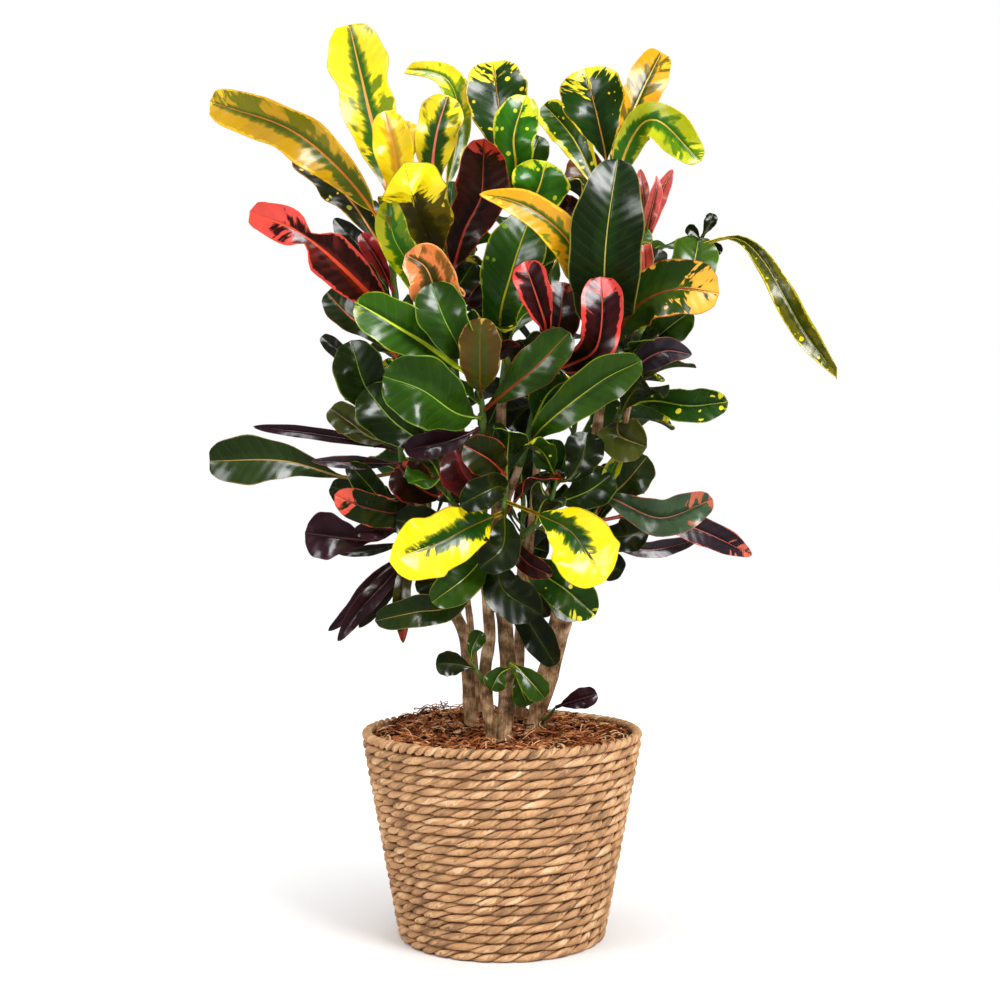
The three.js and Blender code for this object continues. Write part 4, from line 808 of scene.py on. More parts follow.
    def stations(self) -> Array:
        """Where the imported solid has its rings.

        Returns:
            Shares of the midrib's length.
        """
        stalk = self.leaf.form.value.stalk
        most = FILL_SEGMENTS if self.leaf.length else MOST_SEGMENTS
        spans = math.floor(self.curve.length * (1 - stalk) / SEGMENT + 0.5) + 1
        count = min(most, max(LEAST_SEGMENTS, spans))
        step = np.arange(1, count + 1) / count
        bend = np.sin(np.pi / 2 * step ** self.STATION_POWER)
        pull = self.STATION_PULL
        return stalk + (1 - stalk) * (pull * bend + (1 - pull) * step)

    def corners(self) -> Array:
        """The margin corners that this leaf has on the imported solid.

        Returns:
            Points in millimetres.
        """
        shares = self.stations()
        centre, across, normal = self.frames(shares)
        half = self.half_width(shares, True)
        found = []
        for q in (-1.0, 1.0):
            rise = self.lift(shares, np.full_like(shares, q), half)
            for face in (1, -1):
                off = (rise + face * BLADE_EDGE / 2)[:, None]
                found.append(centre + across * (q * half)[:, None] + normal * off)
        return np.vstack(found)


class Layout:
    """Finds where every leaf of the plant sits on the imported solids."""

    MATCH = 0.06              # mm between a leaf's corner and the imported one
    SURE = 0.7                # share of corners that settles a leaf at once
    ENOUGH = 0.3              # share below which a leaf isn't on the plant
    FIRST_AT = 0.02           # share of a stem between its wood and its first leaf
    ROOT_DEPTH = 0.4          # share of the shoot's radius at which a stalk starts
    FAR = 1e4                 # mm to a point that stands for a direction

    # A leaf placed by rule: share of its length and degrees above its climb, for two points.
    REACHES = ((0.5, 8.0), (0.97, -6.0))
    SHORTENING = 0.25         # how much shorter the leaf at the top of a shoot is
    WIDTH, WIDTH_DRAW = 0.4, 0.12         # shares of the length
    ROLL_DRAW = 70.0
    CLIMB, CLIMB_GROWTH, CLIMB_DRAW = 14.0, 30.0, 26.0

    def __init__(self, nodes: dict[str, Thing]) -> None:
        """Measures the stems.

        Args:
            nodes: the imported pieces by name.
        """
        self.nodes = nodes
        self.curves = {name: Spline([seen(p) for p in stem.path]) for name, stem in STEMS.items()}
        self.trees: dict[str, kdtree.KDTree] = {}

    def tree(self, node: str) -> kdtree.KDTree:
        """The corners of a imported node, ready to search.

        Args:
            node: the node's name.

        Returns:
            The corners in millimetres.
        """
        if node not in self.trees:
            corners = self.nodes[node].data.vertices
            tree = kdtree.KDTree(len(corners))
            for corner in corners:
                tree.insert(corner.co / MM, corner.index)
            tree.balance()
            self.trees[node] = tree
        return self.trees[node]

    def root(self, leaf: Leaf, towards: Array) -> Array:
        """Where a leaf joins its shoot.

        Args:
            leaf: the leaf.
            towards: a point on the side that it leaves by.

        Returns:
            The point, just inside the shoot.
        """
        stem = STEMS[leaf.stem]
        share = np.array([stem.green + self.FIRST_AT
                          + (1 - self.FIRST_AT - stem.green) * leaf.at])
        axis = self.curves[leaf.stem].points(share)[0]
        along = self.curves[leaf.stem].tangents(share)[0]
        out = towards - axis
        out = unit(out - along * out.dot(along))
        return axis + out * self.ROOT_DEPTH * stem.radius_at(share[0])

    def front_pose(self, leaf: Leaf, push: float, roll: float) -> Pose:
        """A leaf of the front view.

        Args:
            leaf: the leaf.
            push: how far it is slid along the line of sight.
            roll: how far it is rolled besides its own roll.

        Returns:
            The leaf in its place.
        """
        way = [seen((u, v, depth + push)) for u, v, depth in leaf.way]
        root = self.root(leaf, way[0])
        facing = unit((way[-1] + root) / 2 - EYE)
        return Pose(leaf, (root, *way), facing, leaf.roll + roll)

    def rule_pose(self, leaf: Leaf, turn: float, climb: float) -> Pose:
        """A leaf placed by rule, which climbs and then bends over.

        Args:
            leaf: the leaf.
            turn: degrees round the shoot at which it leaves.
            climb: degrees above the level.

        Returns:
            The leaf in its place.
        """
        heading = math.radians(turn)
        out = np.array((math.cos(heading), math.sin(heading), 0.0))
        up = np.array((0.0, 0.0, 1.0))
        points = [self.root(leaf, out * self.FAR)]
        for part, extra in self.REACHES:
            slope = math.radians(climb + extra)
            points.append(points[0] + out * part * leaf.length * math.cos(slope)
                          + up * (part * leaf.length * math.sin(slope)))
        return Pose(leaf, tuple(points), -up, leaf.roll)

    def settled(self, node: str, options: list[Pose]) -> Pose | None:
        """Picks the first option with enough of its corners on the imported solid.

        Args:
            node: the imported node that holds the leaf.
            options: the places that the leaf may have taken.

        Returns:
            The leaf where it sits, or None if the plant doesn't carry it.
        """
        tree = self.tree(node)
        best, best_share = None, self.ENOUGH
        for pose in options:
            corners = pose.corners()
            hits = sum(tree.find(corner)[2] < self.MATCH for corner in corners)
            share = hits / len(corners)
            if share > best_share:
                best, best_share = pose, share
            if share >= self.SURE:
                break
        return best

    def named(self) -> list[Pose]:
        """Places the leaves that the front view shows one by one.

        Returns:
            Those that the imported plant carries.
        """
        found = []
        for index, row in enumerate(LEAVES):
            leaf = replace(row, phase=(index * PHASE_STEP) % 1)
            options = [self.front_pose(leaf, push, roll) for roll in ROLLS for push in PUSHES]
            node = f"leaf_{leaf.name}" if leaf.own else f"shoot_{leaf.stem}"
            pose = self.settled(node, options)
            if pose:
                found.append(pose)
            else:
                LOG.warning("leaf %s isn't on the packed plant", leaf.name)
        return found

    def filling(self) -> list[Pose]:
        """Places the leaves that fill the shoots by rule.

        Returns:
            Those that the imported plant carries.
        """
        draw = Draw(SEED)
        found = []
        for stem, rule in FILLS.items():
            for i in range(rule.count):
                at = (i + 0.5) / rule.count
                around = ((i * GOLDEN_ANGLE) % 360) / 360 - 0.5
                shortest, longest = rule.length
                length = shortest + (longest - shortest) * draw.next()
                length *= 1 - self.SHORTENING * at
                wide = length * (self.WIDTH + self.WIDTH_DRAW * draw.next())
                pick = int(draw.next() * FILL_COLOURS)
                leaf = Leaf(f"{stem}_{i + 1}", stem, at, (), wide, phase=draw.next(),
                            length=length, roll=self.ROLL_DRAW * (draw.next() - 0.5))
                climb = self.CLIMB + self.CLIMB_GROWTH * at + self.CLIMB_DRAW * draw.next()
                turn = rule.turn + around * rule.sweep
                pose = self.settled(f"shoot_{stem}", [
                    self.rule_pose(leaf, turn + shift, climb + extra)
                    for extra in CLIMBS for shift in SHIFTS])
                if pose:
                    height = pose.points[-1][2]
                    tints = (HIGH_TINTS if height > HIGH_ZONE else
                             LOW_TINTS if height < LOW_ZONE else MIDDLE_TINTS)
                    found.append(replace(pose, leaf=replace(leaf, tint=tints[pick])))
        return found


# ---- meshes ----
def clip_to_box(bm: Mesh, inset: float) -> None:
    """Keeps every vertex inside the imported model's box.

    Args:
        bm: the mesh.
        inset: how far inside, in metres.
    """
    low, high = CAD_BOX
    for vert in bm.verts:
        vert.co = [min(max(c, a + inset), b - inset) for c, a, b in zip(vert.co, low, high)]


def finished(name: str, bm: Mesh, materials: list[Material],
             inset: float = 0.0) -> Thing:
    """Turns a bmesh into a smooth-shaded object of the scene.

    Args:
        name: the object's name.
        bm: the mesh, in metres, which is freed.
        materials: its material slots.
        inset: how far inside the box it stays, for a sheet that is thickened later.

    Returns:
        The new object, at the origin.
    """
    clip_to_box(bm, inset)
    mesh = bpy.data.meshes.new(name)
    for face in bm.faces:
        face.smooth = True
    bm.to_mesh(mesh)
    bm.free()
    piece = bpy.data.objects.new(name, mesh)
    bpy.context.scene.collection.objects.link(piece)
    for material in materials:
        mesh.materials.append(material)
    return piece


def bake_modifiers(piece: Thing, sharp_degrees: float) -> None:
    """Replaces a piece's mesh with what its modifiers make of it.

    Args:
        piece: the object.
        sharp_degrees: edges that turn by more than this are shaded sharp.
    """
    bpy.context.view_layer.update()
    graph = bpy.context.evaluated_depsgraph_get()
    mesh = bpy.data.meshes.new_from_object(piece.evaluated_get(graph), depsgraph=graph)
    piece.modifiers.clear()
    old, piece.data = piece.data, mesh
    bpy.data.meshes.remove(old)
    mesh.name = piece.name
    mesh.set_sharp_from_angle(angle=math.radians(sharp_degrees))


def enlist(piece: Thing, node: str) -> None:
    """Hands a finished piece to the frame and reports it.

    Args:
        piece: the object.
        node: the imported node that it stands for.
    """
    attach(piece, BODY)
    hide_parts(node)
    LOG.info("%s: %d faces", piece.name, len(piece.data.polygons))


def grid_map(bm: Mesh, across: int,
             along: int) -> tuple[Verts, Array, Array]:
    """Adds a flat grid to be bent into shape.

    Args:
        bm: the mesh to add to.
        across: cells in the first direction.
        along: cells in the second direction.

    Returns:
        The new vertices, and their places from 0 to 1 in both directions.
    """
    made = bmesh.ops.create_grid(bm, x_segments=across, y_segments=along, size=0.5)["verts"]
    places = np.array([vert.co[:2] for vert in made]) + 0.5
    return made, places[:, 0], places[:, 1]


def place_verts(verts: Verts, points: Array) -> None:
    """Moves vertices to points given in millimetres."""
    for vert, point in zip(verts, points * MM):
        vert.co = point


def pipe(bm: Mesh, centres: Array, radii: Array, sides: int,
         closed_ends: bool = True) -> Verts:
    """Adds a round pipe along a line of points.

    Args:
        bm: the mesh to add to.
        centres: points of the line, in millimetres.
        radii: the radius at each of them, or radii by point and side.
        sides: faces round the pipe.
        closed_ends: whether both ends get a cap.

    Returns:
        The pipe's vertices.
    """
    rows = len(centres) - 1
    verts, around, along = grid_map(bm, sides, rows)
    row = np.rint(along * rows).astype(int)
    column = np.rint(around * sides).astype(int) % sides
    tangents = np.gradient(centres, axis=0)
    tangents /= np.linalg.norm(tangents, axis=1)[:, None]
    sides_out, others = np.zeros_like(tangents), np.zeros_like(tangents)
    side = np.eye(3)[0 if abs(tangents[0][0]) < NEARLY_ALONG else 1]
    for i, along_here in enumerate(tangents):
        side = unit(side - along_here * side.dot(along_here))
        sides_out[i], others[i] = side, np.cross(along_here, side)
    angle = 2 * np.pi * column / sides
    size = radii[row] if radii.ndim == 1 else radii[row, column]
    out = sides_out[row] * np.cos(angle)[:, None] + others[row] * np.sin(angle)[:, None]
    place_verts(verts, centres[row] + out * size[:, None])
    bmesh.ops.remove_doubles(bm, verts=verts, dist=FINE_WELD)
    verts = [vert for vert in verts if vert.is_valid]
    if closed_ends:
        edges = {edge for vert in verts for edge in vert.link_edges if edge.is_boundary}
        bmesh.ops.holes_fill(bm, edges=list(edges), sides=sides)
    return verts


# ---- materials ----
def add_node(tree: bpy.types.NodeTree, kind: str, inputs: dict | None = None,
             stops: Stops = (), **settings: object) -> bpy.types.Node:
    """Adds a node with its settings and links.

    Args:
        tree: the material's nodes.
        kind: the node's type.
        inputs: values, or sockets to link, by input name or index.
        stops: places from 0 to 1 and sRGB hex colours, for a colour ramp.
        settings: the node's own properties.

    Returns:
        The node.
    """
    node = tree.nodes.new(kind)
    for key, value in settings.items():
        setattr(node, key, value)
    for key, value in (inputs or {}).items():
        if isinstance(value, bpy.types.NodeSocket):
            tree.links.new(value, node.inputs[key])
        else:
            node.inputs[key].default_value = value
    if stops:
        band = node.color_ramp.elements
        while len(band) < len(stops):
            band.new(1.0)
        for element, (place, hue) in zip(band, stops):
            element.position = place
            element.color = linear(hue)
    return node


class Work(Enum):
    """Rows of a recipe that aren't a Math node: type, settings, inputs and main output."""

    WHERE = ("ShaderNodeTexCoord", {}, (), "Object")
    STRETCH = ("ShaderNodeMapping", {}, ("Vector", "Scale"), 0)
    NOISE = ("ShaderNodeTexNoise", {}, ("Vector", "Scale", "Detail", "Roughness"), "Fac")
    MIX = ("ShaderNodeMix", {"data_type": "RGBA"}, (0, 6, 7), 2)
    SPREAD = ("ShaderNodeMapRange", {}, ("Value", "From Min", "From Max", "To Min", "To Max"), 0)
    EASE = ("ShaderNodeMapRange", {"interpolation_type": "SMOOTHSTEP"},
            ("Value", "From Min", "From Max"), 0)
    BUMP = ("ShaderNodeBump", {}, ("Height", "Strength", "Distance"), 0)


class Recipe:
    """A material in the making, whose sockets are known by name."""

    def __init__(self, name: str) -> None:
        """Starts with an empty material.

        Args:
            name: the material's name.
        """
        self.material = bpy.data.materials.new(name)
        self.material.use_nodes = True
        self.tree = self.material.node_tree
        self.tree.nodes.clear()
        self.known: dict[str, bpy.types.NodeSocket] = {}

    def sockets(self, inputs: dict[str | int, object]) -> dict[str | int, object]:
        """Inputs with each name of a known socket replaced by that socket."""
        return {key: self.known[value] if isinstance(value, str) else value
                for key, value in inputs.items()}

    def add(self, name: str, kind: str, inputs: dict[str | int, object] | None = None,
            main: str | int = 0, **settings: object) -> None:
        """Adds a node, with all its outputs known as name.Output.

        Args:
            name: what the node's main output is known as.
            kind: the node's type.
            inputs: values, or names of known sockets, by input name or index.
            main: the main output, by name or index.
            settings: the node's own properties, and a colour ramp's stops.
        """
        node = add_node(self.tree, kind, self.sockets(inputs or {}), **settings)
        self.known.update({f"{name}.{out.name}": out for out in node.outputs})
        self.known[name] = node.outputs[main]

    def work(self, *rows: tuple) -> None:
        """Adds a node for each row.

        Args:
            rows: what the result is known as, a word of Work or an operation of a Math node,
                and the inputs, which are values or names of known sockets.
        """
        for name, word, *values in rows:
            kind, settings, places, main = (
                Work[word].value if word in Work.__members__ else
                ("ShaderNodeMath", {"operation": word}, (0, 1, 2), 0))
            self.add(name, kind, dict(zip(places, values)), main, **settings)

    def close(self, inputs: dict[str, object]) -> Material:
        """Adds the shader and the output.

        Args:
            inputs: the shader's values, or names of known sockets, by input.

        Returns:
            The finished material.
        """
        shader = add_node(self.tree, "ShaderNodeBsdfPrincipled", self.sockets(inputs))
        add_node(self.tree, "ShaderNodeOutputMaterial", {"Surface": shader.outputs[0]})
        return self.material


@dataclass(frozen=True)
class WaxyLeaf:
    """Croton leaf, grown: a waxy skin over a quilted blade, blotched along its side veins.

    The wax gives broad soft highlights, and the blotches follow the veins that leave the rib.
    """

    name: str = "waxy_croton_leaf"
    vein_spacing_mm: float = 11.0
    blotch_mm: float = 7.0
    spot_mm: float = 6.5
    cloud_mm: float = 26.0
    vein_slant: float = 0.75
    roughness: float = 0.3
    coat: float = 0.4

    def make(self) -> Material:
        """Builds the material from the attributes that each blade carries.

        Returns:
            The material.
        """
        recipe = Recipe(self.name)
        for name in ("place", "vein", "body", "blotch", "rib", "edge", "mottle"):
            recipe.add(name, "ShaderNodeAttribute", attribute_name=f"blade_{name}")
        for name, parts in (("place", ("across", "along", "tip")),
                            ("vein", ("chevron", "off_rib", "seed"))):
            split = add_node(recipe.tree, "ShaderNodeSeparateXYZ",
                             {0: recipe.known[f"{name}.Vector"]})
            recipe.known.update(zip(parts, split.outputs))
        recipe.add("squeezed", "ShaderNodeVectorMath",
                   {0: "vein.Vector", 1: (1.0, 0.3, 1.0)}, operation="MULTIPLY")
        recipe.work(("ragged", "NOISE", "squeezed", 1 / (self.blotch_mm * MM), 3.0, 0.6),
                    ("cloud", "NOISE", "vein.Vector", 1 / (self.cloud_mm * MM), 3.0),
                    ("level", "MULTIPLY_ADD", "off_rib", self.vein_slant, "chevron"))
        recipe.add("upright", "ShaderNodeCombineXYZ", {0: "level", 1: "off_rib", 2: "seed"})
        recipe.add("dots", "ShaderNodeTexVoronoi",
                   {"Vector": "upright", "Scale": 1 / (self.spot_mm * MM)})
        recipe.add("lot", "ShaderNodeSeparateXYZ", {0: "dots.Color"})
        self.paint(recipe)
        half_spacing = self.vein_spacing_mm * MM / 2
        recipe.work(
            # A thin pale hem, side veins a shade lighter, and the midrib, narrower at the tip.
            ("near_vein", "PINGPONG", "chevron", half_spacing),
            ("line", "EASE", "near_vein", 0.0002, 0.0011),
            ("line", "SUBTRACT", 1.0, "line"),
            ("line", "MULTIPLY", "line", 0.04),
            ("colour", "MIX", "line", "colour", "rib.Color"),
            ("hem", "EASE", "across", 0.955, 0.99),
            ("hem", "MULTIPLY", "hem", 0.55),
            ("colour", "MIX", "hem", "colour", "rib.Color"),
            ("width", "SUBTRACT", 1.12, "along"),
            ("width", "MULTIPLY", "rib.Alpha", "width"),
            ("width", "MAXIMUM", "width", 1e-5),
            ("on_rib", "DIVIDE", "off_rib", "width"),
            ("on_rib", "EASE", "on_rib", 0.6, 1.15),
            ("on_rib", "SUBTRACT", 1.0, "on_rib"),
            ("colour", "MIX", "on_rib", "colour", "rib.Color"),
            # The blade swells between its veins and dips along its rib.
            ("quilt", "EASE", "near_vein", 0.0, half_spacing),
            ("quilt", "MULTIPLY", "quilt", 0.7),
            ("groove", "EASE", "off_rib", 0.0, 0.0022),
            ("height", "MULTIPLY_ADD", "groove", 0.6, "quilt"),
            ("height", "MULTIPLY_ADD", "cloud", 2.0, "height"),
            ("relief", "BUMP", "height", 0.3, 0.0012),
            ("gloss", "MULTIPLY_ADD", "ragged", 0.2, self.roughness - 0.1),
            ("shade", "MULTIPLY_ADD", "cloud", 0.7, 0.66))
        recipe.add("deep", "ShaderNodeGamma", {"Color": "colour", "Gamma": 1.3})
        recipe.add("toned", "ShaderNodeHueSaturation", {"Value": "shade", "Color": "deep"})
        return recipe.close({"Base Color": "toned", "Roughness": "gloss", "IOR": 1.45,
                             "Coat Weight": self.coat, "Coat Roughness": 0.14,
                             "Normal": "relief"})

    @staticmethod
    def paint(recipe: Recipe) -> None:
        """Works out the colour of blotches, spots and margins.

        Args:
            recipe: the material, with its places, noises and dots known.
        """
        recipe.work(
            # Blotch: a ragged band along the rib, wider at the stalk and gone before the tip.
            ("base", "SUBTRACT", 0.36, "along"),
            ("base", "MAXIMUM", "base", 0.0),
            ("base", "MULTIPLY", "base", 4.5),
            ("reach", "SUBTRACT", 1.25, "along"),
            ("reach", "ADD", "reach", "base"),
            ("reach", "MULTIPLY", "body.Alpha", "reach"),
            ("jag", "MULTIPLY_ADD", "ragged", 2.6, -0.3),
            ("band", "MULTIPLY", "reach", "jag"),
            ("band", "SUBTRACT", "band", "across"),
            ("fringe", "MIX", 0.8, "body.Color", "blotch.Color"),
            ("patch", "MULTIPLY_ADD", "ragged", 0.25, "cloud"),
            ("patch", "MULTIPLY_ADD", "mottle.Fac", 0.32, "patch"),
            ("patch", "EASE", "patch", 0.77, 0.86),
            ("fringed", "EASE", "band", -0.16, -0.02),
            ("fringed", "MAXIMUM", "fringed", "patch"),
            ("colour", "MIX", "fringed", "body.Color", "fringe"),
            ("blotched", "EASE", "band", -0.01, 0.07),
            ("colour", "MIX", "blotched", "colour", "blotch.Color"),
            # Spots, margin and tip share the edge colour.
            ("chance", "MULTIPLY_ADD", "across", 0.9, 0.35),
            ("chance", "MULTIPLY", "blotch.Alpha", "chance"),
            ("drawn", "LESS_THAN", "lot.X", "chance"),
            ("size", "POWER", "lot.Y", 2.0),
            ("size", "MULTIPLY_ADD", "size", 0.4, 0.1),
            ("spots", "SUBTRACT", "size", "dots.Distance"),
            ("spots", "EASE", "spots", 0.0, 0.05),
            ("spots", "MULTIPLY", "drawn", "spots"),
            ("jag", "MULTIPLY_ADD", "ragged", 0.4, -0.2),
            ("margin", "ADD", "across", "edge.Alpha"),
            ("margin", "ADD", "margin", "jag"),
            ("margin", "EASE", "margin", 1.0, 1.07),
            ("jag", "MULTIPLY_ADD", "ragged", 0.8, -0.4),
            ("ends", "ADD", "along", "tip"),
            ("ends", "ADD", "ends", "jag"),
            ("jag", "MULTIPLY_ADD", "cloud", 0.5, -0.25),
            ("ends", "ADD", "ends", "jag"),
            ("ends", "EASE", "ends", 1.0, 1.06),
            ("edged", "MAXIMUM", "spots", "margin"),
            ("edged", "MAXIMUM", "edged", "ends"),
            ("colour", "MIX", "edged", "colour", "edge.Color"))


@dataclass(frozen=True)
class GrainedSkin:
    """A surface with a stretched grain: bark, green stem or potting soil, grown or loose.

    The grain runs along the stretch, and its flecks give the eye the scale of the piece.
    """

    name: str
    stops: Stops
    grain_mm: float
    stretch: float
    roughness: float
    relief_mm: float
    rings: float = 0.0        # how dark the scars are that run round it

    def make(self) -> Material:
        """Builds the material on object coordinates.

        Returns:
            The material.
        """
        recipe = Recipe(self.name)
        recipe.work(
            ("where", "WHERE"),
            ("long", "STRETCH", "where", (1.0, 1.0, 1 / self.stretch)),
            ("grain", "NOISE", "long", 1 / (self.grain_mm * MM), 6.0, 0.65),
            ("cloud", "NOISE", "where", 1 / (9 * self.grain_mm * MM), 3.0),
            ("flat", "STRETCH", "where", (0.35, 0.35, 2.2)),
            ("scar", "NOISE", "flat", 1 / (4 * self.grain_mm * MM), 2.0),
            ("scar", "SPREAD", "scar", 0.56, 0.66, 0.0, -self.rings),
            ("tone", "MULTIPLY", "grain", 0.4),
            ("tone", "MULTIPLY_ADD", "cloud", 0.6, "tone"),
            ("tone", "ADD", "tone", "scar"),
            ("relief", "BUMP", "grain", 0.7, self.relief_mm * MM))
        recipe.add("band", "ShaderNodeValToRGB", {"Fac": "tone"}, stops=self.stops)
        return recipe.close({"Base Color": "band", "Roughness": self.roughness,
                             "Specular IOR Level": 0.3, "Normal": "relief"})


@dataclass(frozen=True)
class TwistedRush:
    """Dried rush stalks, twisted into rope by hand.

    Long fibres run with each strand, which is honey coloured with greyer and paler stalks.
    """

    name: str = "twisted_rush_rope"
    fibre_mm: float = 0.7
    stalk_mm: float = 38.0
    # colour of the painted shade in the creases between strands and rows, and on the lining
    groove: str = "2e1b0d"
    stops: Stops = ((0.2, "8a6648"), (0.36, "b0845b"), (0.5, "cb996b"), (0.64, "deb080"),
                    (0.82, "f4d2aa"))

    def make(self) -> Material:
        """Builds the material from the places that the strands carry, and from their depth
        attribute, which mixes in painted shade.

        Returns:
            The material.
        """
        recipe = Recipe(self.name)
        for name in ("place", "depth"):
            recipe.add(name, "ShaderNodeAttribute", attribute_name=f"rope_{name}")
        recipe.work(
            ("fibres", "STRETCH", "place.Vector", (0.035, 1.0, 1.0)),
            ("fine", "NOISE", "fibres", 1 / (self.fibre_mm * MM), 3.0, 0.6),
            ("stalks", "STRETCH", "place.Vector", (1.0, 1.2, 40.0)),
            ("broad", "NOISE", "stalks", 1 / (self.stalk_mm * MM), 2.0, 0.55),
            ("tone", "MULTIPLY_ADD", "fine", 0.35, -0.38),
            ("tone", "MULTIPLY_ADD", "broad", 1.4, "tone"),
            ("relief", "BUMP", "fine", 0.6, 0.0007))
        recipe.add("band", "ShaderNodeValToRGB", {"Fac": "tone"}, stops=self.stops)
        # Painted shade: the crease colour is mixed in where the depth attribute is low.
        recipe.work(("colour", "MIX", "depth.Fac", linear(self.groove), "band"))
        return recipe.close({"Base Color": "colour", "Roughness": 0.62,
                             "Specular IOR Level": 0.35, "Normal": "relief"})


@dataclass(frozen=True)
class CoirFibre:
    """Coconut-husk fibre, combed and dried: reddish brown, with paler and darker threads."""

    name: str = "dry_coir_fibre"
    thread_mm: float = 0.8
    stops: Stops = ((0.08, "180902"), (0.3, "5c2a10"), (0.52, "a0562b"), (0.76, "cb8450"),
                    (1.0, "eabb8c"))

    def make(self) -> Material:
        """Builds the material from each fibre's own tone.

        Returns:
            The material.
        """
        recipe = Recipe(self.name)
        recipe.add("fibre", "ShaderNodeAttribute", attribute_name="fibre_tone")
        recipe.work(("where", "WHERE"),
                    ("fleck", "NOISE", "where", 1 / (self.thread_mm * MM), 2.0),
                    ("tone", "MULTIPLY_ADD", "fleck", 0.3, -0.15),
                    ("tone", "ADD", "tone", "fibre.Fac"))
        recipe.add("band", "ShaderNodeValToRGB", {"Fac": "tone"}, stops=self.stops)
        return recipe.close({"Base Color": "band", "Roughness": 0.6,
                             "Specular IOR Level": 0.2})


@dataclass(frozen=True)
class MouldedPlastic:
    """Polypropylene, injection moulded: near-black and satin, with a fine even texture."""

    name: str = "moulded_polypropylene"
    hue: str = "17181a"
    texture_mm: float = 0.8

    def make(self) -> Material:
        """Builds the material on object coordinates.

        Returns:
            The material.
        """
        recipe = Recipe(self.name)
        recipe.work(("where", "WHERE"),
                    ("fine", "NOISE", "where", 1 / (self.texture_mm * MM)),
                    ("relief", "BUMP", "fine", 0.25, 0.0002),
                    ("gloss", "MULTIPLY_ADD", "fine", 0.2, 0.4))
        return recipe.close({"Base Color": linear(self.hue), "Roughness": "gloss",
                             "Normal": "relief"})


# Bark of a woody croton stem: thin, grey-tan and pinkish, with fine upright grain and specks.
BARK = GrainedSkin("croton_bark",
                   ((0.3, "2c1f12"), (0.42, "664a2e"), (0.5, "936f4a"), (0.57, "b9946e"),
                    (0.7, "dec6a6")), 1.4, 8.0, 0.45, 0.5, 0.03)
# Young shoot: smooth and green, with brown scars.
GREEN_STEM = GrainedSkin("young_green_stem",
                         ((0.3, "3a4420"), (0.5, "4f6a2a"), (0.7, "7c8a40")), 1.5, 4.0, 0.45, 0.3)
# Potting soil: damp peat and composted bark, dark and crumbly.
SOIL = GrainedSkin("damp_potting_soil",
                   ((0.3, "160e09"), (0.5, "2b1d14"), (0.7, "4a3424")), 2.5, 1.0, 0.95, 1.5)


# ---- sub-assemblies ----
@dataclass(frozen=True)
class RopeRing:
    """A ring of two-strand rope, or one strand of it, in millimetres."""

    radius: float
    z: float
    size: float               # half the rope's thickness
    turns: int                # of its twist, all the way round
    steps: int
    plump: float
    wobble: float = 0.9       # how uneven the twist is
    sway: float = 1.0         # how much the ring rises and dips
    lean: float = 0.0         # where its unevenness starts
    phase: float = 0.0
    tag: float = 0.0          # sets the tones of its stalks apart from other rings'


